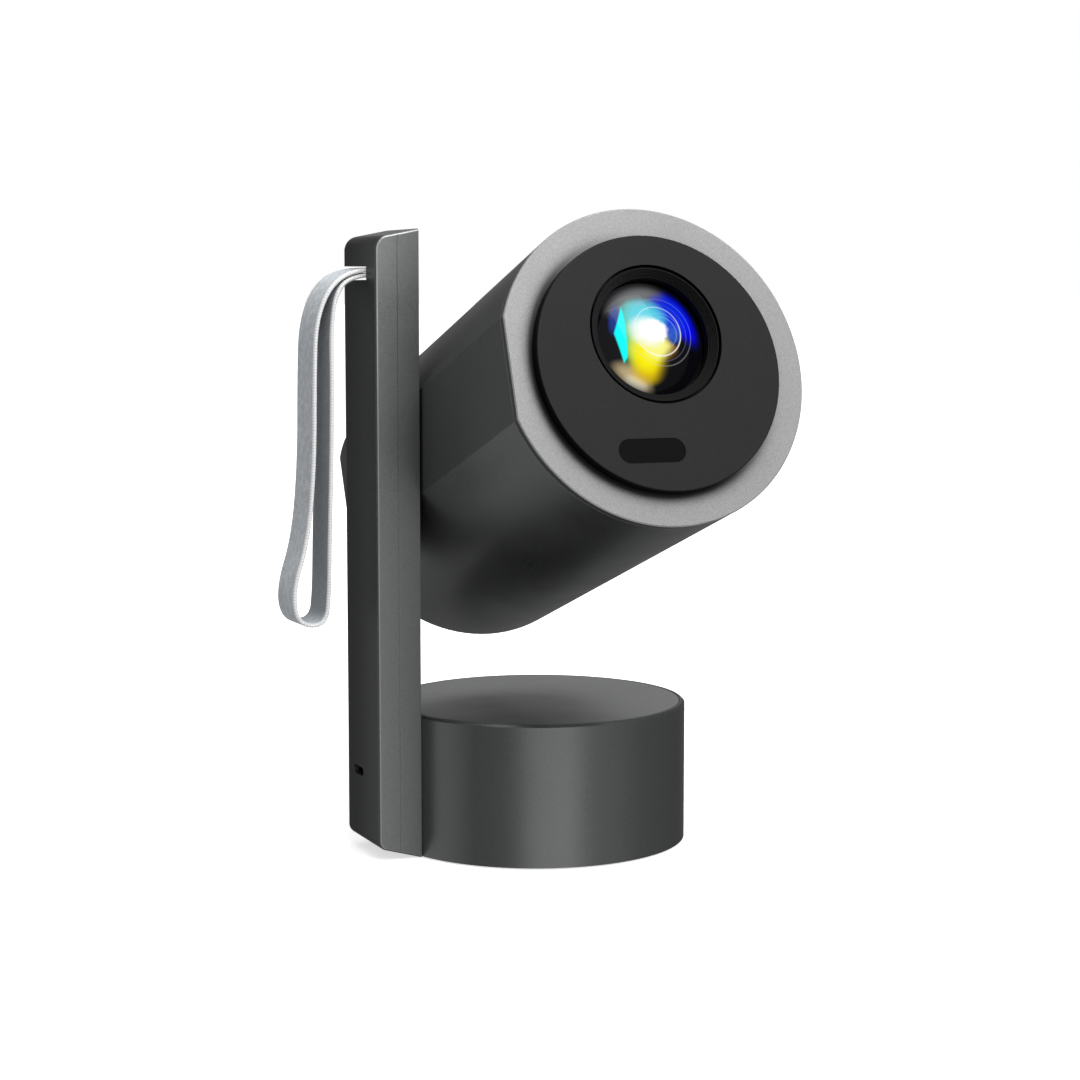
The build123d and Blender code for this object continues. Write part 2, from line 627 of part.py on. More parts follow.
with BuildPart() as head_shell:
    with BuildSketch(HEAD.offset(HEAD_BACK)):
        d_section(HEAD_R, HEAD_FLAT)
    extrude(amount=SHELL_FRONT - HEAD_BACK)
    back_face = head_shell.faces().sort_by(Axis((0, 0, 0), HEAD.z_dir))[0]
    chamfer(back_face.edges(), 0.35)
    with BuildSketch(HEAD.offset(HEAD_BACK)):
        d_section(INNER_R, INNER_FLAT)
    extrude(amount=SHELL_FRONT - HEAD_BACK, mode=Mode.SUBTRACT)
    with BuildSketch(HEAD.offset(CAP_IN)):
        with Locations(*REAR_SCREWS):
            Circle(REAR_BOSS_R)
    extrude(amount=REAR_BOSS_H)
    with BuildSketch(HEAD.offset(CAP_IN)):
        with Locations(*REAR_SCREWS):
            Circle(SCREW_R)
    extrude(amount=REAR_SCREW_L, mode=Mode.SUBTRACT)
    # posts under the main board, down to the shell's wall
    with BuildSketch(BOARD_PLANE):
        with Locations(*BOARD_POSTS):
            Circle(POST_R)
    extrude(amount=-POST_H)
    # opening in the flat for the hinge
    with BuildSketch(across(-HEAD_FLAT)):
        Circle(HINGE_HOLE_R)
    extrude(amount=HEAD_WALL, mode=Mode.SUBTRACT)
    # air intake and sound slots on the side away from the arm
    for along, length in ((-9, 34), (27, 20)):
        for row in range(-4, 5):
            with BuildSketch(across(HEAD_R - 7)):
                with Locations((row * SLOT_PITCH, along)):
                    SlotOverall(length, SLOT_W, rotation=90)
            extrude(amount=8, mode=Mode.SUBTRACT)
head_shell.part.label = "head_shell"
export_step(head_shell.part, "parts/head_shell.step")

RING_SPIGOT = 2.0        # the ring's rim reaches this far into the shell
with BuildPart() as front_ring:
    with BuildSketch(HEAD.offset(SHELL_FRONT)):
        d_section(HEAD_R, HEAD_FLAT)
    extrude(amount=RING_T)
    ring_face = front_ring.faces().sort_by(Axis((0, 0, 0), HEAD.z_dir))[-1]
    chamfer(ring_face.edges(), RING_EDGE)
    with BuildSketch(HEAD.offset(SHELL_FRONT - RING_SPIGOT)):
        d_section(INNER_R, INNER_FLAT)
    extrude(amount=RING_SPIGOT)
    with BuildSketch(HEAD.offset(SHELL_FRONT - RING_SPIGOT)):
        Circle(RING_IN_R)
    extrude(amount=RING_T + RING_SPIGOT, mode=Mode.SUBTRACT)
front_ring.part.label = "front_ring"
export_step(front_ring.part, "parts/front_ring.step")

PLATE_BACK = SHELL_FRONT - RING_SPIGOT
WINDOW_SEAT = 3.0        # the opening behind the window is smaller by this much
WINDOW_T = 1.2
with BuildPart() as front_plate:
    with BuildSketch(HEAD.offset(PLATE_BACK)):
        Circle(RING_IN_R)
    extrude(amount=HEAD_FRONT - PLATE_BACK)
    with BuildSketch(HEAD.offset(HEAD_FRONT)):
        Circle(PLATE_R)
    extrude(amount=PLATE_T)
    plate_face = front_plate.faces().sort_by(Axis((0, 0, 0), HEAD.z_dir))[-1]
    fillet(plate_face.edges(), 0.35)
    with BuildSketch(HEAD.offset(PLATE_BACK)):
        with Locations((0, LENS_UP)):
            Circle(LENS_HOLE_R)
        with Locations((WINDOW_X, WINDOW_Y)):
            SlotOverall(WINDOW_W - WINDOW_SEAT, WINDOW_H - WINDOW_SEAT)
    extrude(amount=HEAD_FRONT + PLATE_T - PLATE_BACK, mode=Mode.SUBTRACT)
    with BuildSketch(HEAD.offset(HEAD_FRONT + PLATE_T - WINDOW_T)):
        with Locations((WINDOW_X, WINDOW_Y)):
            SlotOverall(WINDOW_W, WINDOW_H)
    extrude(amount=WINDOW_T, mode=Mode.SUBTRACT)
front_plate.part.label = "front_plate"
export_step(front_plate.part, "parts/front_plate.step")

with BuildPart() as sensor_window:
    with BuildSketch(HEAD.offset(HEAD_FRONT + PLATE_T - WINDOW_T)):
        with Locations((WINDOW_X, WINDOW_Y)):
            SlotOverall(WINDOW_W - 0.1, WINDOW_H - 0.1)
    extrude(amount=WINDOW_T - 0.1)
sensor_window.part.label = "sensor_window"
export_step(sensor_window.part, "parts/sensor_window.step")

FRAME_T = 2.0
FRAME_BACK = PLATE_BACK - FRAME_T
FRAME_HOLE_R = 18.2      # clearance round the lens barrel's mouth
FRAME_SCREWS = on_circle(33.0, (80, 200, 340))
with BuildPart() as front_frame:
    with BuildSketch(HEAD.offset(FRAME_BACK)):
        d_section(INNER_R, INNER_FLAT)
        with Locations((0, LENS_UP)):
            Circle(FRAME_HOLE_R, mode=Mode.SUBTRACT)
        with Locations((WINDOW_X, WINDOW_Y)):
            SlotOverall(WINDOW_W - WINDOW_SEAT, WINDOW_H - WINDOW_SEAT, mode=Mode.SUBTRACT)
        with Locations(*FRAME_SCREWS):
            Circle(SCREW_R, mode=Mode.SUBTRACT)
    extrude(amount=FRAME_T)
front_frame.part.label = "front_frame"
export_step(front_frame.part, "parts/front_frame.step")

with BuildPart() as front_screws:
    with BuildSketch(HEAD.offset(FRAME_BACK - SCREW_HEAD_T)):
        with Locations(*FRAME_SCREWS):
            Circle(SCREW_HEAD_R)
            RegularPolygon(HEX_R, 6, mode=Mode.SUBTRACT)
    extrude(amount=SCREW_HEAD_T)
    with BuildSketch(HEAD.offset(FRAME_BACK)):
        with Locations(*FRAME_SCREWS):
            Circle(SCREW_R)
    extrude(amount=FRAME_T)
front_screws.part.label = "front_screws"
export_step(front_screws.part, "parts/front_screws.step")

SENSOR_BOARD_T = 1.4
with BuildPart() as sensor_board:
    with BuildSketch(HEAD.offset(FRAME_BACK - SENSOR_BOARD_T)):
        with Locations((WINDOW_X, WINDOW_Y)):
            Rectangle(22, 9)
    extrude(amount=SENSOR_BOARD_T)
    with BuildSketch(HEAD.offset(FRAME_BACK)):
        with Locations((WINDOW_X - 4, WINDOW_Y), (WINDOW_X + 4, WINDOW_Y)):
            Circle(1.6)
    extrude(amount=4)
sensor_board.part.label = "sensor_board"
export_step(sensor_board.part, "parts/sensor_board.step")

# ---------------------------------------------------------------- lens
LIP_BACK = HEAD_FRONT - 1.0
BEZEL_FRONT = HEAD_FRONT + PLATE_T - 0.3
BEZEL_IN_R = 17.2
BEZEL_LAND = 0.4         # flat rim in front of the steps
BEZEL_STEPS = 6
BEZEL_SLOPE = 1.8        # depth of the stepped slope; below it the bore is straight
BEZEL_GROOVE_W, BEZEL_GROOVE_D = 0.8, 1.6      # open groove between the bezel and the plate
CELL_OUT_R, CELL_IN_R = 17.8, 14.6
with BuildPart() as lens_bezel:
    with BuildSketch(HEAD.offset(PLATE_BACK)):
        with Locations((0, LENS_UP)):
            Circle(LENS_HOLE_R - 0.1)
    extrude(amount=BEZEL_FRONT - BEZEL_GROOVE_D - PLATE_BACK)
    with BuildSketch(HEAD.offset(BEZEL_FRONT - BEZEL_GROOVE_D)):
        with Locations((0, LENS_UP)):
            Circle(LENS_HOLE_R - BEZEL_GROOVE_W)
    extrude(amount=BEZEL_GROOVE_D)
    with BuildSketch(HEAD.offset(PLATE_BACK)):
        with Locations((0, LENS_UP)):
            Circle(FRAME_HOLE_R)
    extrude(amount=LIP_BACK - PLATE_BACK, mode=Mode.SUBTRACT)
    with BuildSketch(HEAD.offset(LIP_BACK)):
        with Locations((0, LENS_UP)):
            Circle(BEZEL_IN_R)
    extrude(amount=BEZEL_FRONT - LIP_BACK, mode=Mode.SUBTRACT)
    rise = BEZEL_SLOPE / BEZEL_STEPS
    widen = (LENS_HOLE_R - BEZEL_GROOVE_W - BEZEL_LAND - BEZEL_IN_R) / BEZEL_STEPS
    for step in range(BEZEL_STEPS):
        step_foot = BEZEL_FRONT - BEZEL_SLOPE + step * rise
        with BuildSketch(HEAD.offset(step_foot)):
            with Locations((0, LENS_UP)):
                Circle(BEZEL_IN_R + (step + 1) * widen)
        extrude(amount=BEZEL_FRONT - step_foot, mode=Mode.SUBTRACT)
lens_bezel.part.label = "lens_bezel"
export_step(lens_bezel.part, "parts/lens_bezel.step")

GLASS_BACK = LIP_BACK - 4.2
GLASS_RIM = LIP_BACK - 1.6       # front of the cylindrical rim
GLASS_RISE = 3.9
LENS_AXIS = HEAD.offset(0)
LENS_AXIS.origin = HEAD.from_local_coords(Vector(0, LENS_UP, 0))


def dome(plane, radius, rise):
    """A domed cap that stands on the plane, with the given radius and height."""
    ball = (radius**2 + rise**2) / (2 * rise)
    middle = (radius / 2, (ball**2 - radius**2 / 4) ** 0.5 - ball + rise)
    with BuildPart() as cap:
        with BuildSketch(Plane(origin=plane.origin, x_dir=plane.x_dir, z_dir=-plane.y_dir)):
            with BuildLine():
                ThreePointArc((radius, 0), middle, (0, rise))
                Polyline((0, rise), (0, 0), (radius, 0))
            make_face()
        revolve(axis=Axis(plane.origin, plane.z_dir))
    return cap.part


with BuildPart() as front_lens:
    with BuildSketch(LENS_AXIS.offset(GLASS_BACK)):
        Circle(GLASS_R)
    extrude(amount=GLASS_RIM - GLASS_BACK)
    add(dome(LENS_AXIS.offset(GLASS_RIM), GLASS_R, GLASS_RISE))
front_lens.part.label = "front_lens"
export_step(front_lens.part, "parts/front_lens.step")

CELL_BACK = 50.0
CELL_FRONT = GLASS_RIM - 0.6
EAR_X, EAR_FROM, EAR_TO = 22.5, 56.0, 60.0
EAR_L, EAR_W = 12.0, 5.0
EAR_HOLE_R = 1.05        # runs on the focus screw
MIDDLE_SEAT = CELL_BACK + 14
SEAT_L = 6.0
LENS_RIM = 1.6           # flat rim outside each inner lens's dome
with BuildPart() as lens_cell:
    with BuildSketch(LENS_AXIS.offset(CELL_BACK)):
        Circle(CELL_OUT_R)
    extrude(amount=CELL_FRONT - CELL_BACK)
    with BuildSketch(LENS_AXIS.offset(EAR_FROM)):
        with Locations((EAR_X - 4, 0)):
            Rectangle(EAR_L, EAR_W)
    extrude(amount=EAR_TO - EAR_FROM)
    with BuildSketch(LENS_AXIS.offset(CELL_BACK)):
        Circle(CELL_IN_R - LENS_RIM)
    extrude(amount=CELL_FRONT - CELL_BACK, mode=Mode.SUBTRACT)
    for seat in (CELL_BACK, MIDDLE_SEAT):
        with BuildSketch(LENS_AXIS.offset(seat)):
            Circle(CELL_IN_R)
        extrude(amount=SEAT_L, mode=Mode.SUBTRACT)
    with BuildSketch(LENS_AXIS.offset(GLASS_BACK)):
        Circle(GLASS_R)
    extrude(amount=CELL_FRONT - GLASS_BACK, mode=Mode.SUBTRACT)
    with BuildSketch(LENS_AXIS.offset(EAR_FROM)):
        with Locations((EAR_X, 0)):
            Circle(EAR_HOLE_R)
    extrude(amount=EAR_TO - EAR_FROM, mode=Mode.SUBTRACT)
lens_cell.part.label = "lens_cell"
export_step(lens_cell.part, "parts/lens_cell.step")

with BuildPart() as rear_lens:
    with BuildSketch(LENS_AXIS.offset(CELL_BACK)):
        Circle(CELL_IN_R)
    extrude(amount=3)
    add(dome(LENS_AXIS.offset(CELL_BACK + 3), CELL_IN_R - LENS_RIM, 2.2))
rear_lens.part.label = "rear_lens"
export_step(rear_lens.part, "parts/rear_lens.step")

with BuildPart() as middle_lens:
    with BuildSketch(LENS_AXIS.offset(MIDDLE_SEAT)):
        Circle(CELL_IN_R)
    extrude(amount=4)
    add(dome(LENS_AXIS.offset(MIDDLE_SEAT + 4), CELL_IN_R - LENS_RIM, 1.8))
middle_lens.part.label = "middle_lens"
export_step(middle_lens.part, "parts/middle_lens.step")

ENGINE_BACK, ENGINE_FRONT = 8.0, 44.0
ENGINE_W, ENGINE_H = 42.0, 36.0
with BuildPart() as lens_barrel:
    with BuildSketch(LENS_AXIS.offset(ENGINE_FRONT)):
        Circle(CELL_OUT_R + 2.2)
        Circle(CELL_OUT_R + FIT, mode=Mode.SUBTRACT)
    extrude(amount=FRAME_BACK - ENGINE_FRONT)
    with BuildSketch(LENS_AXIS.offset(EAR_FROM - FOCUS_TRAVEL - 0.4)):
        with Locations((EAR_X - 4, 0)):
            Rectangle(EAR_L, EAR_W + 0.6)
    extrude(amount=EAR_TO - EAR_FROM + 2 * FOCUS_TRAVEL + 0.8, mode=Mode.SUBTRACT)
lens_barrel.part.label = "lens_barrel"
export_step(lens_barrel.part, "parts/lens_barrel.step")

# focus motor with its two-eared frame, and the screw that drives the lens cell's ear
MOTOR_R, MOTOR_L = 3.0, 9.0
FRAME_EAR_T = 1.4
SCREW_FROM, SCREW_TO = 49.6, 66.0
with BuildPart() as focus_motor:
    for low in (SCREW_FROM, SCREW_TO - 1.6):
        with BuildSketch(LENS_AXIS.offset(low)):
            with Locations((EAR_X + 1.4, 0)):
                Rectangle(7.6, 6)
        extrude(amount=FRAME_EAR_T)
    with BuildSketch(LENS_AXIS.offset(SCREW_FROM)):
        with Locations((EAR_X + 5.2, 0)):
            Rectangle(FRAME_EAR_T, 6)
    extrude(amount=SCREW_TO - 0.2 - SCREW_FROM)
    with BuildSketch(LENS_AXIS.offset(SCREW_TO - 0.2)):
        with Locations((EAR_X + 0.6, 0)):
            Circle(MOTOR_R)
    extrude(amount=MOTOR_L)
    with BuildSketch(LENS_AXIS.offset(SCREW_FROM)):
        with Locations((EAR_X, 0)):
            Circle(EAR_HOLE_R)
    extrude(amount=SCREW_TO - SCREW_FROM + 1.0, mode=Mode.SUBTRACT)
focus_motor.part.label = "focus_motor"
export_step(focus_motor.part, "parts/focus_motor.step")

with BuildPart() as focus_screw:
    with BuildSketch(LENS_AXIS.offset(SCREW_FROM - 0.3)):
        with Locations((EAR_X, 0)):
            Circle(1.0)
    extrude(amount=SCREW_TO - SCREW_FROM + 0.9)
focus_screw.part.label = "focus_screw"
export_step(focus_screw.part, "parts/focus_screw.step")

# ---------------------------------------------------------------- light engine
ENGINE_WALL = 2.0
ENGINE_IN_W, ENGINE_IN_H = ENGINE_W - 2 * ENGINE_WALL, ENGINE_H - 2 * ENGINE_WALL
PANEL_AT, PANEL_T = 37.0, 1.4
CONDENSER_AT, CONDENSER_EDGE = ENGINE_BACK + 8, 3.0
with BuildPart() as light_engine_housing:
    with BuildSketch(LENS_AXIS.offset(ENGINE_BACK)):
        Rectangle(ENGINE_W, ENGINE_H)
    extrude(amount=ENGINE_FRONT - ENGINE_BACK)
    with BuildSketch(LENS_AXIS.offset(ENGINE_BACK + ENGINE_WALL)):
        Rectangle(ENGINE_IN_W, ENGINE_IN_H)
    extrude(amount=ENGINE_FRONT - ENGINE_BACK - 2 * ENGINE_WALL, mode=Mode.SUBTRACT)
    with BuildSketch(LENS_AXIS.offset(ENGINE_FRONT - ENGINE_WALL)):
        Circle(14.0)
    extrude(amount=ENGINE_WALL, mode=Mode.SUBTRACT)
    with BuildSketch(LENS_AXIS.offset(ENGINE_BACK)):
        Circle(7.0)
    extrude(amount=ENGINE_WALL, mode=Mode.SUBTRACT)
light_engine_housing.part.label = "light_engine_housing"
export_step(light_engine_housing.part, "parts/light_engine_housing.step")

with BuildPart() as lcd_panel:
    with BuildSketch(LENS_AXIS.offset(PANEL_AT)):
        Rectangle(ENGINE_IN_W, ENGINE_IN_H)
    extrude(amount=PANEL_T)
lcd_panel.part.label = "lcd_panel"
export_step(lcd_panel.part, "parts/lcd_panel.step")

with BuildPart() as condenser_lens:
    with BuildSketch(LENS_AXIS.offset(CONDENSER_AT)):
        Circle(ENGINE_IN_H / 2)
    extrude(amount=CONDENSER_EDGE)
    add(dome(LENS_AXIS.offset(CONDENSER_AT + CONDENSER_EDGE), ENGINE_IN_H / 2 - 1, 5))
condenser_lens.part.label = "condenser_lens"
export_step(condenser_lens.part, "parts/condenser_lens.step")

LED_T = 2.0
with BuildPart() as led_module:
    with BuildSketch(LENS_AXIS.offset(ENGINE_BACK - LED_T)):
        RectangleRounded(26, 26, 3)
    extrude(amount=LED_T)
    add(dome(LENS_AXIS.offset(ENGINE_BACK), 4.5, 2.4))
led_module.part.label = "led_module"
export_step(led_module.part, "parts/led_module.step")

SINK_FRONT = ENGINE_BACK - LED_T
SINK_SIZE, SINK_UP, SINK_T = 46.0, 3.0, 4.0
FIN_COUNT, FIN_PITCH, FIN_T, FIN_L = 9, 5.5, 1.4, 24.0
with BuildPart() as heat_sink:
    with BuildSketch(HEAD.offset(SINK_FRONT - SINK_T)):
        with Locations((0, SINK_UP)):
            Rectangle(SINK_SIZE, SINK_SIZE)
    extrude(amount=SINK_T)
    with BuildSketch(HEAD.offset(SINK_FRONT - SINK_T - FIN_L)):
        with Locations((0, SINK_UP)):
            with GridLocations(FIN_PITCH, 0, FIN_COUNT, 1):
                Rectangle(FIN_T, SINK_SIZE)
    extrude(amount=FIN_L)
heat_sink.part.label = "heat_sink"
export_step(heat_sink.part, "parts/heat_sink.step")

# ---------------------------------------------------------------- fan
FAN_BACK, FAN_FRONT = -36.0, -26.0
FAN_SIZE = 50.0
FAN_R = 22.8
HUB_R = 8.5
BLADES = 7
SPOKE_T = 1.8
FAN_PIN_R = 1.0
ROTOR_BACK, ROTOR_L = FAN_BACK + 2.3, 6.6
with BuildPart() as fan_frame:
    with BuildSketch(HEAD.offset(FAN_BACK)):
        RectangleRounded(FAN_SIZE, FAN_SIZE, 3)
        Circle(FAN_R + 0.9, mode=Mode.SUBTRACT)
        with GridLocations(FAN_SIZE - 7, FAN_SIZE - 7, 2, 2):
            Circle(1.8, mode=Mode.SUBTRACT)
    extrude(amount=FAN_FRONT - FAN_BACK)
    with BuildSketch(HEAD.offset(FAN_BACK)):
        Circle(HUB_R)
        with PolarLocations((HUB_R + FAN_R + 1.5) / 2, 4, start_angle=45):
            Rectangle(FAN_R + 2 - HUB_R, 2.2)
    extrude(amount=SPOKE_T)
    with BuildSketch(HEAD.offset(FAN_BACK + SPOKE_T)):
        Circle(FAN_PIN_R)
    extrude(amount=6.4)
fan_frame.part.label = "fan_frame"
export_step(fan_frame.part, "parts/fan_frame.step")

with BuildPart() as fan_rotor:
    with BuildSketch(HEAD.offset(ROTOR_BACK)):
        Circle(HUB_R)
        Circle(FAN_PIN_R + FIT, mode=Mode.SUBTRACT)
    extrude(amount=ROTOR_L)
    with BuildSketch(HEAD.offset(ROTOR_BACK)):
        with PolarLocations((HUB_R + FAN_R) / 2 - 0.4, BLADES):
            Rectangle(FAN_R - HUB_R + 0.4, 1.2, rotation=-14)
    extrude(amount=ROTOR_L)
fan_rotor.part.label = "fan_rotor"
export_step(fan_rotor.part, "parts/fan_rotor.step")

# ---------------------------------------------------------------- electronics
with BuildPart() as main_board:
    with BuildSketch(BOARD_PLANE):
        with Locations((0, -(BOARD_FROM + BOARD_TO) / 2)):
            Rectangle(2 * BOARD_X, BOARD_TO - BOARD_FROM)
    extrude(amount=BOARD_T)
    with BuildSketch(BOARD_PLANE.offset(BOARD_T)):
        with Locations((0, -30)):
            Rectangle(16, 16)
        with Locations((-14, -8), (14, -8), (-15, -46), (15, -48)):
            Rectangle(8, 10)
    extrude(amount=2.4)
main_board.part.label = "main_board"
export_step(main_board.part, "parts/main_board.step")

SPEAKER_X, SPEAKER_AT = 29.0, (3, 27)
MAGNET_R, SPEAKER_R = 12.0, 14.0
with BuildPart() as speaker:
    with BuildSketch(across(SPEAKER_X)):
        with Locations(SPEAKER_AT):
            Circle(MAGNET_R)
    extrude(amount=5)
    with BuildSketch(across(SPEAKER_X + 5)):
        with Locations(SPEAKER_AT):
            Circle(SPEAKER_R)
    extrude(amount=5)
    with BuildSketch(across(SPEAKER_X + 8)):
        with Locations(SPEAKER_AT):
            Circle(SPEAKER_R - 2.5)
    extrude(amount=2, mode=Mode.SUBTRACT)
speaker.part.label = "speaker"
export_step(speaker.part, "parts/speaker.step")

# ---------------------------------------------------------------- rear cap
SOCKET_Y = -30.5
HDMI_X, HDMI_W, HDMI_H = -10.5, 15.0, 5.6
USB_X, USB_W, USB_H = 10.5, 13.2, 5.8
SOCKET_LEN = 9.0
SOCKET_FROM = CAP_BACK + 0.2
SHUT_T = 0.8             # closed inner end of both sockets
BUTTON_Y, BUTTON_R = 34.0, 4.5
BUTTON_OUT = 0.5         # the button stands out from the cap by this much
BUTTON_PLAY = 0.3
CAP_PLAY = 0.05
VENT_R, VENT_PITCH, VENT_W = 23.0, 5.0, 2.2
COLLAR_H = 3.6           # collar behind the cap that guides the button
COLLAR_OUT_R, COLLAR_IN_R = BUTTON_R + 2.5, BUTTON_R + 1.2
with BuildPart() as rear_cap:
    with BuildSketch(HEAD.offset(CAP_BACK)):
        d_section(INNER_R - CAP_PLAY, INNER_FLAT - CAP_PLAY)
        with Locations(*REAR_SCREWS):
            Circle(SCREW_R, mode=Mode.SUBTRACT)
        for row in range(-4, 5):
            half_width = (VENT_R**2 - (row * VENT_PITCH) ** 2) ** 0.5
            with Locations((0, row * VENT_PITCH + 1)):
                SlotOverall(2 * half_width, VENT_W, mode=Mode.SUBTRACT)
        with Locations((HDMI_X, SOCKET_Y)):
            Rectangle(HDMI_W, HDMI_H, mode=Mode.SUBTRACT)
        with Locations((USB_X, SOCKET_Y)):
            Rectangle(USB_W, USB_H, mode=Mode.SUBTRACT)
        with Locations((0, BUTTON_Y)):
            Circle(BUTTON_R + BUTTON_PLAY, mode=Mode.SUBTRACT)
    extrude(amount=CAP_T)
    with BuildSketch(HEAD.offset(CAP_BACK)):
        with Locations(*REAR_SCREWS):
            Circle(SCREW_HEAD_R)
    extrude(amount=LOW_HEAD_T, mode=Mode.SUBTRACT)
    with BuildSketch(HEAD.offset(CAP_IN)):
        with Locations((0, BUTTON_Y)):
            Circle(COLLAR_OUT_R)
            Circle(COLLAR_IN_R, mode=Mode.SUBTRACT)
    extrude(amount=COLLAR_H)
rear_cap.part.label = "rear_cap"
export_step(rear_cap.part, "parts/rear_cap.step")

with BuildPart() as rear_cap_screws:
    with BuildSketch(HEAD.offset(CAP_BACK)):
        with Locations(*REAR_SCREWS):
            Circle(SCREW_HEAD_R)
            RegularPolygon(HEX_R, 6, mode=Mode.SUBTRACT)
    extrude(amount=LOW_HEAD_T)
    with BuildSketch(HEAD.offset(CAP_BACK + LOW_HEAD_T)):
        with Locations(*REAR_SCREWS):
            Circle(SCREW_R)
    extrude(amount=REAR_SCREW_L)
rear_cap_screws.part.label = "rear_cap_screws"
export_step(rear_cap_screws.part, "parts/rear_cap_screws.step")

with BuildPart() as power_button:
    with BuildSketch(HEAD.offset(CAP_BACK - BUTTON_OUT)):
        with Locations((0, BUTTON_Y)):
            Circle(BUTTON_R)
    extrude(amount=CAP_T + BUTTON_OUT + 0.4)
    chamfer(power_button.faces().sort_by(Axis((0, 0, 0), HEAD.z_dir))[0].edges(), 0.3)
    with BuildSketch(HEAD.offset(CAP_IN + 0.4)):
        with Locations((0, BUTTON_Y)):
            Circle(BUTTON_R + 0.8)
    extrude(amount=0.8)
power_button.part.label = "power_button"
export_step(power_button.part, "parts/power_button.step")

with BuildPart() as button_board:
    with BuildSketch(HEAD.offset(CAP_IN + COLLAR_H)):
        with Locations((0, BUTTON_Y)):
            Circle(COLLAR_OUT_R)
    extrude(amount=1.2)
    with BuildSketch(HEAD.offset(CAP_IN + COLLAR_H)):
        with Locations((0, BUTTON_Y)):
            Circle(1.5)
    extrude(amount=-1.5)
button_board.part.label = "button_board"
export_step(button_board.part, "parts/button_board.step")

with BuildPart() as hdmi_socket:
    with BuildSketch(HEAD.offset(SOCKET_FROM)):
        with Locations((HDMI_X, SOCKET_Y)):
            Rectangle(HDMI_W, HDMI_H)
            Rectangle(HDMI_W - 0.8, HDMI_H - 0.8, mode=Mode.SUBTRACT)
            Rectangle(HDMI_W - 3.4, 0.9)
    extrude(amount=SOCKET_LEN)
    with BuildSketch(HEAD.offset(SOCKET_FROM + SOCKET_LEN)):
        with Locations((HDMI_X, SOCKET_Y)):
            Rectangle(HDMI_W, HDMI_H)
    extrude(amount=SHUT_T)
hdmi_socket.part.label = "hdmi_socket"
export_step(hdmi_socket.part, "parts/hdmi_socket.step")

with BuildPart() as usb_socket:
    with BuildSketch(HEAD.offset(SOCKET_FROM)):
        with Locations((USB_X, SOCKET_Y)):
            Rectangle(USB_W, USB_H)
            Rectangle(USB_W - 0.8, USB_H - 0.8, mode=Mode.SUBTRACT)
        with Locations((USB_X, SOCKET_Y + 1.2)):
            Rectangle(USB_W - 2.4, 1.4)
    extrude(amount=SOCKET_LEN)
    with BuildSketch(HEAD.offset(SOCKET_FROM + SOCKET_LEN)):
        with Locations((USB_X, SOCKET_Y)):
            Rectangle(USB_W, USB_H)
    extrude(amount=SHUT_T)
usb_socket.part.label = "usb_socket"
export_step(usb_socket.part, "parts/usb_socket.step")

with BuildPart() as io_board:
    with BuildSketch(HEAD.offset(SOCKET_FROM + SOCKET_LEN + SHUT_T)):
        with Locations((0, SOCKET_Y)):
            Rectangle(42, 9)
    extrude(amount=1.4)
io_board.part.label = "io_board"
export_step(io_board.part, "parts/io_board.step")
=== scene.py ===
"""Looks of the tilting home projector: wrist strap, finishes, lens, studio and camera.

Metres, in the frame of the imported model: the projector looks towards -Y, the arm stands on
the -X side, and the base stands on the floor at z = 0.
"""

import bpy
import json
import math
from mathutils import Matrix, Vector


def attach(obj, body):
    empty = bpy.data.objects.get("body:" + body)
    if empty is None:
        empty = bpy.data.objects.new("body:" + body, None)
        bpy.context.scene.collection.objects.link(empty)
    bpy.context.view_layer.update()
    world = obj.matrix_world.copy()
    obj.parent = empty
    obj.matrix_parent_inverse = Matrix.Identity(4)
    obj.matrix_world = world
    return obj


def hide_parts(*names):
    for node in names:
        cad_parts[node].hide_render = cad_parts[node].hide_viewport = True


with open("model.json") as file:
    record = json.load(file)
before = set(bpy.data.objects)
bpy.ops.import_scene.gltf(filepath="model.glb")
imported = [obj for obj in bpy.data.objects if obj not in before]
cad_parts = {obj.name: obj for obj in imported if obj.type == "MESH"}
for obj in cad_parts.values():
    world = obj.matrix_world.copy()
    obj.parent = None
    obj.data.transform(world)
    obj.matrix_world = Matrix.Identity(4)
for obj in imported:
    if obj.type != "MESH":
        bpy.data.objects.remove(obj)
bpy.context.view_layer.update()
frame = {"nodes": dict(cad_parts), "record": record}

MM = 0.001

# The barrel's face: centre of the tilt axis, direction it looks in, and its own upward direction.
PIVOT = Vector((0.0, 0.0, 0.1222))
TILT = math.radians(19.5)
FACE_OUT = Vector((0.0, -math.cos(TILT), math.sin(TILT)))
FACE_UP = Vector((0.0, math.sin(TILT), math.cos(TILT)))
LENS_UP = 0.0082
LENS_CENTRE = PIVOT + FACE_UP * LENS_UP


# ---------------------------------------------------------------- camera
CAMERA_AT = (-0.29527, -0.66191, 0.17085)
CAMERA_TURN = (83.963, 0.0, -24.138)
CAMERA_LENS = 77.16

camera = bpy.data.objects.new("camera", bpy.data.cameras.new("camera"))
camera.location = CAMERA_AT
camera.rotation_euler = [math.radians(a) for a in CAMERA_TURN]
camera.data.lens = CAMERA_LENS
camera.data.sensor_width = 36.0
camera.data.clip_end = 100.0
bpy.context.scene.collection.objects.link(camera)
bpy.context.scene.camera = camera


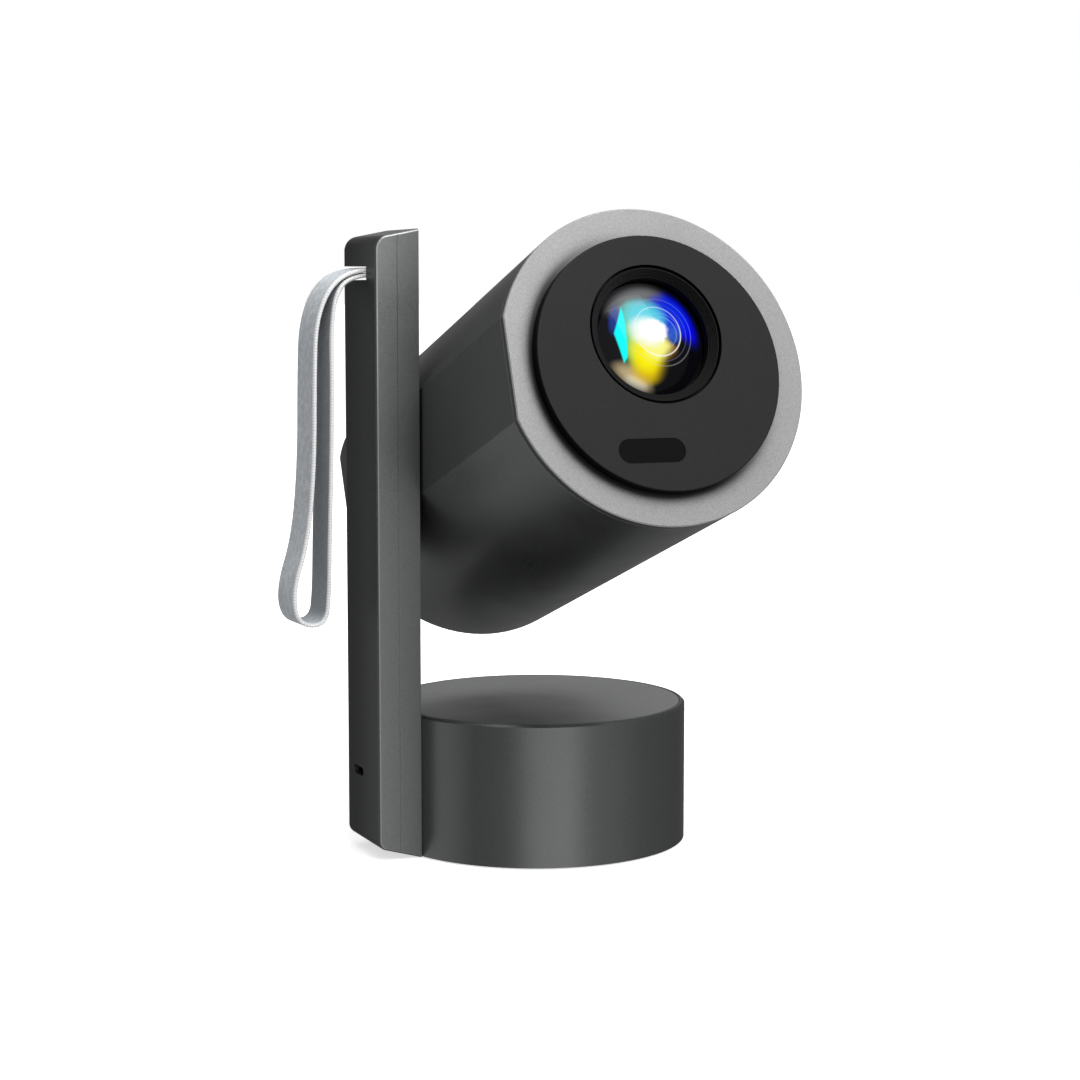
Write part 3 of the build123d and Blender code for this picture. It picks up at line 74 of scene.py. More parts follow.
# ---------------------------------------------------------------- node helpers
class Finish:
    """A Principled material and the few node shapes that the finishes share."""

    def __init__(self, name):
        self.material = bpy.data.materials.new(name)
        self.material.use_nodes = True
        self.tree = self.material.node_tree
        self.shader = self.tree.nodes["Principled BSDF"]
        self.coordinates = self.tree.nodes.new("ShaderNodeTexCoord").outputs["Object"]

    def set(self, **values):
        for name, value in values.items():
            self.shader.inputs[name.replace("_", " ")].default_value = value

    def wire(self, value, socket):
        """Links an output, or sets a plain value."""
        if isinstance(value, bpy.types.NodeSocket):
            self.tree.links.new(value, socket)
        else:
            socket.default_value = value

    def noise(self, scale, detail=2.0, stretch=(1, 1, 1)):
        """Noise from 0 to 1, with scale in waves per metre."""
        mapping = self.tree.nodes.new("ShaderNodeMapping")
        mapping.inputs["Scale"].default_value = stretch
        self.wire(self.coordinates, mapping.inputs["Vector"])
        node = self.tree.nodes.new("ShaderNodeTexNoise")
        node.inputs["Scale"].default_value = scale
        node.inputs["Detail"].default_value = detail
        self.wire(mapping.outputs["Vector"], node.inputs["Vector"])
        return node.outputs["Fac"]

    def flakes(self, scale):
        """Distance to the nearest grain, from 0 to about 1."""
        node = self.tree.nodes.new("ShaderNodeTexVoronoi")
        node.inputs["Scale"].default_value = scale
        self.wire(self.coordinates, node.inputs["Vector"])
        return node.outputs["Distance"]

    def spread(self, value, low, high, to_low=0.0, to_high=1.0, smooth=True):
        """value from low to high, mapped onto to_low to to_high."""
        node = self.tree.nodes.new("ShaderNodeMapRange")
        node.interpolation_type = "SMOOTHSTEP" if smooth else "LINEAR"
        numbers = (("From Min", low), ("From Max", high), ("To Min", to_low), ("To Max", to_high))
        for name, number in numbers:
            node.inputs[name].default_value = number
        self.wire(value, node.inputs["Value"])
        return node.outputs["Result"]

    def math(self, kind, a, b=0.0):
        node = self.tree.nodes.new("ShaderNodeMath")
        node.operation = kind
        self.wire(a, node.inputs[0])
        self.wire(b, node.inputs[1])
        return node.outputs[0]

    def mix(self, share, a, b):
        """Colour a, going to b with share."""
        node = self.tree.nodes.new("ShaderNodeMix")
        node.data_type = "RGBA"
        self.wire(share, node.inputs[0])
        self.wire(a, node.inputs[6])
        self.wire(b, node.inputs[7])
        return node.outputs[2]

    def times(self, colour, factor):
        """The colour made lighter or darker by a factor that varies."""
        node = self.tree.nodes.new("ShaderNodeVectorMath")
        node.operation = "SCALE"
        self.wire(colour, node.inputs[0])
        self.wire(factor, node.inputs["Scale"])
        return node.outputs[0]

    def bump(self, height, depth, strength=1.0, under=None):
        """A normal from height, with depth in metres."""
        node = self.tree.nodes.new("ShaderNodeBump")
        node.inputs["Strength"].default_value = strength
        node.inputs["Distance"].default_value = depth
        self.wire(height, node.inputs["Height"])
        if under is not None:
            self.wire(under, node.inputs["Normal"])
        return node.outputs["Normal"]

    def edge(self, width):
        """1 on edges within width, 0 on open faces."""
        soft = self.tree.nodes.new("ShaderNodeBevel")
        soft.samples = 6
        soft.inputs["Radius"].default_value = width
        flat = self.tree.nodes.new("ShaderNodeNewGeometry").outputs["Normal"]
        same = self.tree.nodes.new("ShaderNodeVectorMath")
        same.operation = "DOT_PRODUCT"
        self.wire(soft.outputs["Normal"], same.inputs[0])
        self.wire(flat, same.inputs[1])
        return self.spread(same.outputs["Value"], 0.99, 0.84)

    def facing(self, direction, low, high):
        """1 on faces that look in a direction, 0 on the rest; low and high are cosines."""
        way = self.tree.nodes.new("ShaderNodeTexCoord").outputs["Normal"]
        same = self.tree.nodes.new("ShaderNodeVectorMath")
        same.operation = "DOT_PRODUCT"
        self.wire(way, same.inputs[0])
        same.inputs[1].default_value = direction
        return self.spread(same.outputs["Value"], low, high)

    def crevice(self, distance, shut, clear):
        """1 deep in a corner, 0 in the open, by how much of the view out is blocked within distance."""
        node = self.tree.nodes.new("ShaderNodeAmbientOcclusion")
        node.samples = 16
        node.inputs["Distance"].default_value = distance
        return self.spread(node.outputs["AO"], clear, shut)

    def along(self, direction, origin=(0, 0, 0)):
        """Distance from origin along a direction, in metres."""
        off = self.tree.nodes.new("ShaderNodeVectorMath")
        off.operation = "SUBTRACT"
        self.wire(self.coordinates, off.inputs[0])
        off.inputs[1].default_value = origin
        dot = self.tree.nodes.new("ShaderNodeVectorMath")
        dot.operation = "DOT_PRODUCT"
        self.wire(off.outputs[0], dot.inputs[0])
        dot.inputs[1].default_value = direction
        return dot.outputs["Value"]


def shade(colour, factor):
    """The colour made lighter or darker, with full alpha."""
    return (colour[0] * factor, colour[1] * factor, colour[2] * factor, 1.0)


BLAST_GRAIN = 3000.0      # grains per metre
BLAST_DEPTH = 0.00002
EDGE_WIDTH = 0.00035      # how far from an edge a blasted face is worn lighter


def blasted(name, colour, metal, rough, contrast=0.16, edge=1.35, grazing=1.0, light_paint=None):
    """Bead-blasted finish: fine grain, faint clouding, lighter edges. A last function, if given, paints
    light and shade onto chosen faces.
    """
    f = Finish(name)
    grit = f.noise(BLAST_GRAIN, 1.5)
    speck = f.flakes(BLAST_GRAIN * 0.62)
    cloud = f.noise(38.0, 3.0)
    fine = f.mix(f.spread(grit, 0.3, 0.7), shade(colour, 1 - contrast), shade(colour, 1 + contrast))
    spotted = f.mix(f.spread(speck, 0.16, 0.05), fine, shade(colour, 1 + 2.2 * contrast))
    clouded = f.mix(f.spread(cloud, 0.25, 0.8, 0.0, 0.16), spotted, shade(colour, 0.78))
    light_painted = light_paint(f, clouded) if light_paint else clouded
    edges = f.edge(EDGE_WIDTH)
    f.wire(f.mix(edges, light_painted, shade(colour, edge)), f.shader.inputs["Base Color"])
    grit_and_cloud = f.math("ADD", f.math("MULTIPLY", grit, 0.5), f.math("MULTIPLY", cloud, 0.5))
    uneven = f.spread(grit_and_cloud, 0.25, 0.75, rough - 0.06, rough + 0.06)
    f.wire(f.math("SUBTRACT", uneven, f.math("MULTIPLY", edges, 0.1)), f.shader.inputs["Roughness"])
    f.set(Metallic=metal, Specular_Tint=(grazing, grazing, grazing, 1))
    f.wire(f.bump(grit, BLAST_DEPTH, 0.55), f.shader.inputs["Normal"])
    return f.material


def moulded(name, colour, rough, grain=1800.0, depth=0.000015, gloss=0.4, light_paint=None):
    """Moulded plastic, rubber or a painted part: fine texture and uneven gloss. A last function, if given,
    paints light and shade onto chosen faces.
    """
    f = Finish(name)
    grit = f.noise(grain, 2.0)
    cloud = f.noise(60.0, 2.0)
    fine = f.mix(f.spread(grit, 0.3, 0.7), shade(colour, 0.88), shade(colour, 1.12))
    clouded = f.mix(f.spread(cloud, 0.3, 0.75, 0.0, 0.2), fine, shade(colour, 0.75))
    f.wire(light_paint(f, clouded) if light_paint else clouded, f.shader.inputs["Base Color"])
    f.wire(f.spread(grit, 0.25, 0.75, rough - 0.05, rough + 0.05), f.shader.inputs["Roughness"])
    f.set(Specular_IOR_Level=gloss)
    f.wire(f.bump(grit, depth, 0.5), f.shader.inputs["Normal"])
    return f.material


def drawn_metal(name, colour, rough):
    """Machined or rolled metal with fine lines one way."""
    f = Finish(name)
    lines = f.noise(900.0, 3.0, stretch=(1, 1, 14))
    lined = f.mix(f.spread(lines, 0.3, 0.7), shade(colour, 0.8), shade(colour, 1.1))
    f.wire(lined, f.shader.inputs["Base Color"])
    f.wire(f.spread(lines, 0.3, 0.7, rough - 0.08, rough + 0.08), f.shader.inputs["Roughness"])
    f.set(Metallic=1.0)
    f.wire(f.bump(lines, 0.00001, 0.4), f.shader.inputs["Normal"])
    return f.material


def circuit(name, colour):
    """Solder mask with tracks and pads."""
    f = Finish(name)
    node = f.tree.nodes.new("ShaderNodeTexVoronoi")
    node.feature = "DISTANCE_TO_EDGE"
    node.inputs["Scale"].default_value = 420.0
    f.wire(f.coordinates, node.inputs["Vector"])
    tracks = f.spread(node.outputs["Distance"], 0.06, 0.03)
    pads = f.spread(f.flakes(700.0), 0.16, 0.1)
    traced = f.mix(f.math("MULTIPLY", tracks, 0.6), shade(colour, 1.0), shade(colour, 2.0))
    f.wire(f.mix(f.math("MULTIPLY", pads, 0.7), traced, (0.55, 0.5, 0.38, 1)), f.shader.inputs["Base Color"])
    f.wire(f.spread(pads, 0, 1, 0.38, 0.25), f.shader.inputs["Roughness"])
    f.wire(f.bump(tracks, 0.00003, 0.6), f.shader.inputs["Normal"])
    return f.material


# ---------------------------------------------------------------- wrist strap
STRAP_Y = 0.0016
STRAP_WIDTH = 0.016
STRAP_THICK = 0.0013
SELVEDGE = 0.0011         # rounded woven edge on each side
SELVEDGE_SWELL = 1.04     # its thickness against the cloth's
KNOT_PITCH = 0.0009
KNOT_SWELL = 0.05         # how far each knot thickens the selvedge
LINE_STEPS = 45           # points along the line for each point of the route
FLAT_POINTS = 15          # across each flat face
TURN_POINTS = 7           # round each selvedge
STRAP_ROUTE = [
    (-0.0518, STRAP_Y, 0.1785), (-0.0600, STRAP_Y, 0.1788), (-0.0689, STRAP_Y, 0.1746),
    (-0.0740, STRAP_Y, 0.1633), (-0.0746, STRAP_Y, 0.1460), (-0.0749, STRAP_Y, 0.1210),
    (-0.0770, STRAP_Y, 0.0980), (-0.0822, STRAP_Y, 0.0820), (-0.0803, STRAP_Y, 0.0723),
    (-0.0716, STRAP_Y, 0.0720), (-0.0706, STRAP_Y, 0.0820), (-0.0703, STRAP_Y, 0.0980),
    (-0.0695, STRAP_Y, 0.1210), (-0.0691, STRAP_Y, 0.1460), (-0.0692, STRAP_Y, 0.1620),
    (-0.0672, STRAP_Y, 0.1732), (-0.0605, STRAP_Y, 0.1771), (-0.0518, STRAP_Y, 0.1770),
]


def route_line(route):
    """Points along the smooth NURBS line that has the route as its control points."""
    data = bpy.data.curves.new("strap_line", "CURVE")
    data.dimensions = "3D"
    data.resolution_u = LINE_STEPS
    spline = data.splines.new("NURBS")
    spline.points.add(len(route) - 1)
    for point, place in zip(spline.points, route):
        point.co = (*place, 1.0)
    spline.order_u = 3
    spline.use_endpoint_u = True
    bare = bpy.data.objects.new("strap_line", data)
    mesh = bpy.data.meshes.new_from_object(bare)
    line = [v.co.copy() for v in mesh.vertices]
    bpy.data.meshes.remove(mesh)
    bpy.data.objects.remove(bare)
    bpy.data.curves.remove(data)
    return line


def strap_section():
    """Half widths and half thicknesses round the webbing: flat faces with a rounded selvedge."""
    half, thick = STRAP_WIDTH / 2, STRAP_THICK / 2
    flat = [-1 + 2 * i / (FLAT_POINTS - 1) for i in range(FLAT_POINTS)]
    inner = half - SELVEDGE
    top = [(t * inner, thick) for t in flat]
    turn = [math.pi / 2 - math.pi * i / (TURN_POINTS + 1) for i in range(1, TURN_POINTS + 1)]
    right = [(inner + SELVEDGE * math.cos(a), thick * SELVEDGE_SWELL * math.sin(a)) for a in turn]
    bottom = [(-w, -t) for w, t in top]
    left = [(-w, -t) for w, t in right]
    return top + right + bottom + left


def build_strap():
    """The webbing swept along the line, with knotted selvedges; returns the object and its line."""
    line = route_line(STRAP_ROUTE)
    section = strap_section()
    count = len(section)
    width_way = Vector((0, 1, 0))
    verts, faces, marks, inward = [], [], [], []
    far = 0.0
    for i, place in enumerate(line):
        ahead = line[min(i + 1, len(line) - 1)] - line[max(i - 1, 0)]
        out = ahead.normalized().cross(width_way)
        far += (place - line[i - 1]).length if i else 0.0
        ripple = 1 + KNOT_SWELL * math.sin(2 * math.pi * far / KNOT_PITCH)
        for w, t in section:
            near_edge = abs(w) > STRAP_WIDTH / 2 - SELVEDGE
            verts.append(place + width_way * w + out * t * (ripple if near_edge else 1.0))
            marks.append((far, w))
            inward.append(max(0.0, t / (STRAP_THICK / 2)))     # this face looks into the loop
    for i in range(len(line) - 1):
        for j in range(count):
            k = (j + 1) % count
            faces.append((i * count + j, i * count + k, (i + 1) * count + k, (i + 1) * count + j))
    faces.append(tuple(reversed(range(count))))
    faces.append(tuple((len(line) - 1) * count + j for j in range(count)))
    mesh = bpy.data.meshes.new("wrist_strap_webbing")
    mesh.from_pydata(verts, [], faces)
    layer = mesh.uv_layers.new(name="weave")
    for loop in mesh.loops:
        along, across = marks[loop.vertex_index]
        layer.data[loop.index].uv = (along / MM, across / MM)
    inside = mesh.attributes.new("inside", "FLOAT", "POINT")
    inside.data.foreach_set("value", inward)
    mesh.polygons.foreach_set("use_smooth", [True] * len(mesh.polygons))
    mesh.update()
    strap = bpy.data.objects.new("wrist_strap_webbing", mesh)
    bpy.context.scene.collection.objects.link(strap)
    return strap, line


def webbing_material():
    """Light grey webbing: twill ribs across the strap, knotted selvedge, loose fibres, and painted shade on
    the faces that look into the loop.
    """
    f = Finish("webbing")
    place = f.tree.nodes.new("ShaderNodeUVMap")
    place.uv_map = "weave"
    parts = f.tree.nodes.new("ShaderNodeSeparateXYZ")
    f.wire(place.outputs["UV"], parts.inputs[0])
    along, across = parts.outputs["X"], parts.outputs["Y"]

    def ribs(way, other, lean, waves):
        """Waves along one way that lean with the other."""
        leaning = f.math("ADD", way, f.math("MULTIPLY", other, lean))
        return f.math("SINE", f.math("MULTIPLY", leaning, waves))

    twill = ribs(along, across, 0.6, 10.5)
    weft = ribs(across, along, -0.25, 12.5)
    weave = f.spread(f.math("MULTIPLY", twill, weft), -1.0, 1.0, smooth=False)
    fibre = f.noise(2600.0, 3.0)
    patchy = f.noise(520.0, 3.0)
    cloth_half = (STRAP_WIDTH / 2 - SELVEDGE) / MM
    edge = f.spread(f.math("ABSOLUTE", across), cloth_half, cloth_half + 0.3)
    loose = f.math("ADD", along, f.math("MULTIPLY", fibre, 0.5))
    knots = f.spread(f.math("SINE", f.math("MULTIPLY", loose, 2 * math.pi * MM / KNOT_PITCH)), -1.0, 1.0)
    inside = f.tree.nodes.new("ShaderNodeAttribute")
    inside.attribute_name = "inside"
    cloth = f.mix(weave, (0.46, 0.50, 0.53, 1), (0.77, 0.81, 0.84, 1))
    worn = f.mix(f.spread(fibre, 0.35, 0.65, 0.0, 0.75), cloth, (0.34, 0.38, 0.41, 1))
    mottled = f.mix(f.spread(patchy, 0.4, 0.65, 0.0, 0.45), worn, (0.76, 0.80, 0.86, 1))
    selvedge = f.mix(f.math("MULTIPLY", knots, f.spread(fibre, 0.3, 0.7, 0.2, 0.6)),
                     (0.90, 0.90, 0.90, 1), (0.54, 0.55, 0.57, 1))
    # painted shade on the faces that look into the loop, less where they face up
    shaded = f.math("SUBTRACT", 0.62, f.math("MULTIPLY", f.facing((0, 0, 1), 0.1, 0.9), 0.55))
    shaded_inside = f.mix(f.math("MULTIPLY", f.spread(inside.outputs["Fac"], 0.3, 0.9), shaded), mottled,
                 (0.23, 0.245, 0.26, 1))
    f.wire(f.mix(edge, shaded_inside, selvedge), f.shader.inputs["Base Color"])
    f.wire(f.spread(fibre, 0.2, 0.8, 0.78, 0.95), f.shader.inputs["Roughness"])
    f.set(Sheen_Weight=0.25, Sheen_Roughness=0.5, Specular_IOR_Level=0.25)
    woven = f.bump(weave, 0.00008, 0.7)
    f.wire(f.bump(fibre, 0.00003, 0.5, woven), f.shader.inputs["Normal"])
    return f.material


strap, strap_line = build_strap()
strap.data.materials.append(webbing_material())
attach(strap, "stand")
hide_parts("wrist_strap")


# ---------------------------------------------------------------- lens
GLASS_R = 16.9            # in millimetres, like every place and size painted on the lens


class LensPaint(Finish):
    """Painted light on the lens: shapes of painted reflections and shade, placed in millimetres right of its
    centre and above it.
    """

    def __init__(self, name):
        super().__init__(name)
        self.right = self.math("DIVIDE", self.along((1, 0, 0), LENS_CENTRE), MM)
        self.up = self.math("DIVIDE", self.along(FACE_UP, LENS_CENTRE), MM)
        self.ragged = self.math("MULTIPLY", self.math("SUBTRACT", self.noise(700.0, 3.0), 0.5), 0.9)

    def reach(self, x, y, way_right, way_up):
        """How far a place lies from x, y along a direction, which also sets the scale."""
        dx = self.math("MULTIPLY", self.math("SUBTRACT", self.right, x), way_right)
        dy = self.math("MULTIPLY", self.math("SUBTRACT", self.up, y), way_up)
        return self.math("ADD", dx, dy)

    def radius(self, x, y):
        """Distance from x, y."""
        dx = self.math("SUBTRACT", self.right, x)
        dy = self.math("SUBTRACT", self.up, y)
        squares = self.math("ADD", self.math("MULTIPLY", dx, dx), self.math("MULTIPLY", dy, dy))
        return self.math("SQRT", squares)

    def patch(self, x, y, half_w, half_h, turn, solid, torn=0.0):
        """1 inside an oval patch, fading to 0 at that half width and height; solid sets how soon."""
        c, s = math.cos(math.radians(turn)), math.sin(math.radians(turn))
        a = self.reach(x, y, c / half_w, s / half_w)
        b = self.reach(x, y, -s / half_h, c / half_h)
        far = self.math("ADD", self.math("MULTIPLY", a, a), self.math("MULTIPLY", b, b))
        if torn:
            far = self.math("ADD", far, self.math("MULTIPLY", self.ragged, torn))
        return self.spread(far, 1.0, solid)

    def left_of(self, start, end, soft):
        """1 to the left of the line from start to end, going to 0 across it."""
        run = math.hypot(end[0] - start[0], end[1] - start[1])
        off = self.reach(*start, -(end[1] - start[1]) / run, (end[0] - start[0]) / run)
        return self.spread(off, -soft / 2, soft / 2)

    def ring(self, x, y, r, width, share, toward):
        """A thin ring of painted reflected light, brightest in the direction toward, in degrees."""
        off = self.math("ABSOLUTE", self.math("SUBTRACT", self.radius(x, y), r))
        lean = self.reach(x, y, math.cos(math.radians(toward)) / r, math.sin(math.radians(toward)) / r)
        return self.math("MULTIPLY", self.spread(off, width, 0.0),
                         self.spread(lean, -0.7, 0.9, 0.12 * share, share))

    def lay(self, layers, glow):
        """The layers' colours, each by its share, on top of glow."""
        for share, colour in layers:
            glow = self.mix(share, glow, (*colour, 1))
        return glow


def lens_material():
    """Coated front glass with painted light: an emissive pattern of painted reflections, glints and shade,
    laid where the coating and the image throw them.
    """
    f = LensPaint("lens_glass")
    # painted grey sheen over the upper glass
    upper_sheen = f.patch(-4.0, 15.5, 14.0, 12.5, 8, 0.0)
    glow = f.mix(upper_sheen, (0.0012, 0.0012, 0.002, 1), (0.17, 0.175, 0.18, 1))
    # painted reflections and glints of the coating, as emission, each laid over the last
    layers = [
        # painted warm light at the lower left
        (f.patch(-7.6, -12.6, 9.0, 5.4, -38, 0.0), (0.50, 0.40, 0.22)),
        (f.patch(-6.4, -13.6, 5.0, 3.0, -30, 0.0), (0.72, 0.66, 0.50)),
        # blue along the right
        (f.patch(11.4, 6.0, 5.6, 12.0, 22, 0.0), (0.0, 0.0, 0.86)),
        (f.patch(6.6, 6.6, 8.6, 7.4, -40, 0.0), (0.0, 0.02, 0.72)),
        # green at the left, cyan above
        (f.patch(-5.8, 1.6, 4.6, 11.0, -8, 0.0), (0.14, 0.62, 0.16)),
        (f.patch(-1.6, 6.0, 8.4, 6.6, -10, 0.0), (0.10, 0.66, 0.80)),
        # yellow below, orange beside it
        (f.patch(-1.8, -8.8, 7.4, 5.6, 10, 0.0), (0.72, 0.50, 0.0)),
        (f.patch(-2.6, -4.6, 6.6, 7.2, 28, 0.0), (0.98, 0.90, 0.0)),
        (f.patch(5.0, -4.4, 3.4, 3.2, 0, 0.0), (0.46, 0.20, 0.02)),
        # pale yellow, then white, in the middle
        (f.patch(1.2, -3.4, 5.6, 4.4, 8, 0.0, 0.5), (0.97, 0.95, 0.25)),
        (f.patch(-1.6, 1.4, 7.0, 5.6, -16, 0.0), (0.95, 1.0, 0.92)),
        (f.patch(0.9, 1.8, 5.2, 3.9, -8, 0.2, 1.0), (1.3, 1.3, 1.28)),
    ]
    glow = f.lay(layers, glow)
    eclipse = f.patch(6.6, 0.8, 3.2, 3.8, 0, 0.0, 0.6)
    glow = f.mix(f.math("MULTIPLY", eclipse, 0.8), glow, (0.03, 0.12, 0.62, 1))
    # painted shadow over the lower right of the glass
    shadow = f.patch(10.8, -10.6, 13.5, 10.5, 32, 0.25)
    glow = f.mix(shadow, glow, (0.0005, 0.0005, 0.0008, 1))
    # painted arcs of reflected light round the centre
    rings = [
        (f.ring(2.0, 1.6, 7.3, 0.34, 0.80, -60), (1.0, 0.97, 0.92)),
        (f.ring(2.0, 1.6, 7.3, 0.30, 0.45, 120), (0.75, 0.9, 1.0)),
        (f.ring(3.0, 1.5, 10.0, 0.30, 0.22, -100), (0.60, 0.58, 0.50)),
        (f.ring(3.0, 1.5, 10.0, 0.30, 0.16, 60), (0.35, 0.45, 1.0)),
        (f.ring(3.2, 1.2, 4.6, 0.30, 0.35, 40), (0.45, 0.62, 1.0)),
        (f.ring(3.2, 1.2, 5.8, 0.24, 0.22, 60), (0.45, 0.62, 1.0)),
        (f.ring(2.6, 1.4, 8.6, 0.26, 0.14, -30), (0.45, 0.45, 0.8)),
    ]
    glow = f.lay(rings, glow)
    # painted kite-shaped reflection of the coating at the left, with a blue fringe
    corners = [(-7.8, 9.2), (-11.3, 1.4), (-9.4, -7.2), (-8.3, -5.6), (-7.6, 6.0), (-7.8, 9.2)]
    sliver = 1.0
    for start, end in zip(corners, corners[1:]):
        sliver = f.math("MULTIPLY", f.left_of(start, end, 0.6), sliver)
    fringe = f.patch(-10.4, 5.6, 2.0, 5.6, -16, 0.0)
    glow = f.mix(f.math("MULTIPLY", fringe, 0.5), glow, (0.02, 0.07, 0.50, 1))
    glow = f.mix(sliver, glow, (0.0, 0.97, 0.97, 1))
    # painted shade round the rim of the glass, less at the lower left
    rim_shade = f.spread(f.along((-0.6, 0, -0.8), LENS_CENTRE), 0.004, 0.010, 0.92, 0.55)
    rim = f.spread(f.radius(0, 0), GLASS_R - 3.7, GLASS_R - 0.3)
    glow = f.mix(f.math("MULTIPLY", rim, rim_shade), glow, (0.001, 0.001, 0.0015, 1))
    f.wire(glow, f.shader.inputs["Emission Color"])
    f.set(Base_Color=(0.002, 0.002, 0.003, 1), Emission_Strength=1.0,
          Specular_IOR_Level=0.08)
    f.wire(f.spread(f.noise(900.0, 2.0), 0.3, 0.7, 0.03, 0.09), f.shader.inputs["Roughness"])
    return f.material


# ---------------------------------------------------------------- finishes of the CAD nodes
BODY = (0.125, 0.130, 0.128)
BODY_METAL = 0.85
BODY_ROUGH = 0.32
BODY_GRAZING = 0.45       # share of the metal's reflection kept at grazing angles
COVER_GAIN = 1.3          # the hinge cover is this much lighter than the body
ARM_OUT_X, ARM_IN_X = -0.0586, -0.0448
# Painted light: the arm's front is painted lighter between these heights.
ARM_PAINTED_LIGHT_LOW, ARM_PAINTED_LIGHT_HIGH = 0.115, 0.170        # the arm's front lightens between these heights


def body_finish(name, edge=1.05, grazing=BODY_GRAZING, light_paint=None, gain=1.0):
    """The dark blasted metal that the body's parts share, with painted light and shade on chosen faces where
    a function is given.
    """
    colour = [channel * gain for channel in BODY]
    return blasted(name, colour, BODY_METAL, BODY_ROUGH, contrast=0.08, edge=edge, grazing=grazing,
                   light_paint=light_paint)


def arm_painted_light(f, colour):
    """Painted light and shade: the arm's front is painted lightest at the top and outside, and its outer
    face is painted darker to the rear.
    """
    front = f.facing((0, -1, 0), 0.75, 0.97)
    height = f.along((0, 0, 1))
    outer = f.spread(height, ARM_PAINTED_LIGHT_LOW, ARM_PAINTED_LIGHT_HIGH, 1.69, 2.79)
    inner = f.spread(height, ARM_PAINTED_LIGHT_LOW, ARM_PAINTED_LIGHT_HIGH, 1.12, 1.84)
    inward = f.spread(f.along((1, 0, 0)), ARM_OUT_X, ARM_IN_X, smooth=False)
    across = f.math("ADD", outer, f.math("MULTIPLY", inward, f.math("SUBTRACT", inner, outer)))
    gain = f.math("ADD", 1.0, f.math("MULTIPLY", front, f.math("SUBTRACT", across, 1.0)))
    side = f.facing((-1, 0, 0), 0.75, 0.97)
    rear = f.spread(f.along((0, 1, 0)), -0.015, 0.009, -0.5, 1.0)
    loss = f.math("MULTIPLY", f.math("MULTIPLY", side, rear), 0.36)
    return f.times(colour, f.math("SUBTRACT", gain, loss))


def barrel_painted_light(f, colour):
    """Painted light and shade: the barrel's lower left side is painted lightest, its flat darkest."""
    low_side = f.facing((-0.707, -0.236, -0.667), 0.45, 0.98)
    flat = f.facing((-1, 0, 0), 0.985, 0.998)
    lit = f.mix(f.math("MULTIPLY", low_side, 0.65), colour, shade(BODY, 2.0))
    return f.mix(f.math("MULTIPLY", flat, 0.5), lit, shade(BODY, 0.80))


def shaded_ring(f, colour):
    """Soft shadow where the ring meets the raised plate, deepest at the lower left; its side is dark."""
    low_left = Vector((-0.8, 0, 0)) - FACE_UP * 0.6
    lean = f.along(low_left, PIVOT)
    deep = f.spread(lean, -0.026, 0.014, 0.06, 1.0)
    shadow = f.math("MULTIPLY", f.crevice(0.0070, 0.64, 0.95), deep)
    shaded = f.mix(shadow, colour, (0.001, 0.001, 0.001, 1))
    return f.mix(f.facing(FACE_OUT, 0.45, 0.10), shaded, shade(BODY, 0.4))


def base_painted_light(f, colour):
    """Painted light: the base's side is painted lighter next to the arm."""
    beside = f.facing((-0.95, -0.31, 0), 0.90, 0.985)
    return f.mix(f.math("MULTIPLY", beside, 0.65), colour, shade(BODY, 2.0))


def plate_side_shade(f, colour):
    """Painted shade: the plate's side wall is painted black."""
    return f.mix(f.facing(FACE_OUT, 0.85, 0.35), colour, (0.0008, 0.0008, 0.0008, 1))


FINISHES = {
    "body_dark": body_finish("body_dark"),
    "base_top": body_finish("base_top", edge=1.5, grazing=1.0),
    "ring_light": blasted("ring_light", (0.27, 0.27, 0.27), 0.3, 0.50, edge=1.8, light_paint=shaded_ring),
    "front_plate": moulded("front_plate", (0.0165, 0.0165, 0.0165), 0.55, gloss=0.12, light_paint=plate_side_shade),
    "bezel_black": moulded("bezel_black", (0.0045, 0.0045, 0.0045), 0.50, gloss=0.08),
    "window": moulded("window", (0.0030, 0.0030, 0.0030), 0.45, depth=0.000002, gloss=0.04),
    # painted shade: the socket is near black so that the port's opening reads as shadow
    "socket_dark": moulded("socket_dark", (0.0010, 0.0010, 0.0010), 0.60, gloss=0.02),
    "lens_glass": lens_material(),
    "steel": drawn_metal("steel", (0.50, 0.50, 0.50), 0.34),
    "brass": drawn_metal("brass", (0.62, 0.46, 0.22), 0.30),
    "rubber": moulded("rubber", (0.018, 0.018, 0.018), 0.80, grain=900.0, depth=0.00004),
    "board": circuit("board", (0.010, 0.060, 0.030)),
    "cells": moulded("cells", (0.08, 0.19, 0.36), 0.35),
    "sink": drawn_metal("sink", (0.62, 0.62, 0.63), 0.38),
    "panel": moulded("panel", (0.03, 0.03, 0.04), 0.15),
    "led": moulded("led", (0.75, 0.70, 0.25), 0.45),
    "speaker": moulded("speaker", (0.020, 0.020, 0.020), 0.70, grain=1200.0),
    "harness": moulded("harness", (0.025, 0.025, 0.025), 0.60, grain=1500.0, depth=0.00005),
    "button": moulded("button", (0.050, 0.050, 0.050), 0.40),
}

# The large shells and the hinge cover have their own versions of the body's finish: the shells with painted
# light and shade, the cover lighter.
ARM_FINISH_WITH_PAINTED_LIGHT = body_finish("body_dark_arm", light_paint=arm_painted_light)
SHELLS = {
    "arm_outer_shell": ARM_FINISH_WITH_PAINTED_LIGHT,
    "arm_inner_shell": ARM_FINISH_WITH_PAINTED_LIGHT,
    "hinge_cover": body_finish("body_dark_cover", gain=COVER_GAIN),
    "base_shell": body_finish("body_dark_base", light_paint=base_painted_light),
    "head_shell": body_finish("body_dark_barrel", grazing=0.6, light_paint=barrel_painted_light),
}

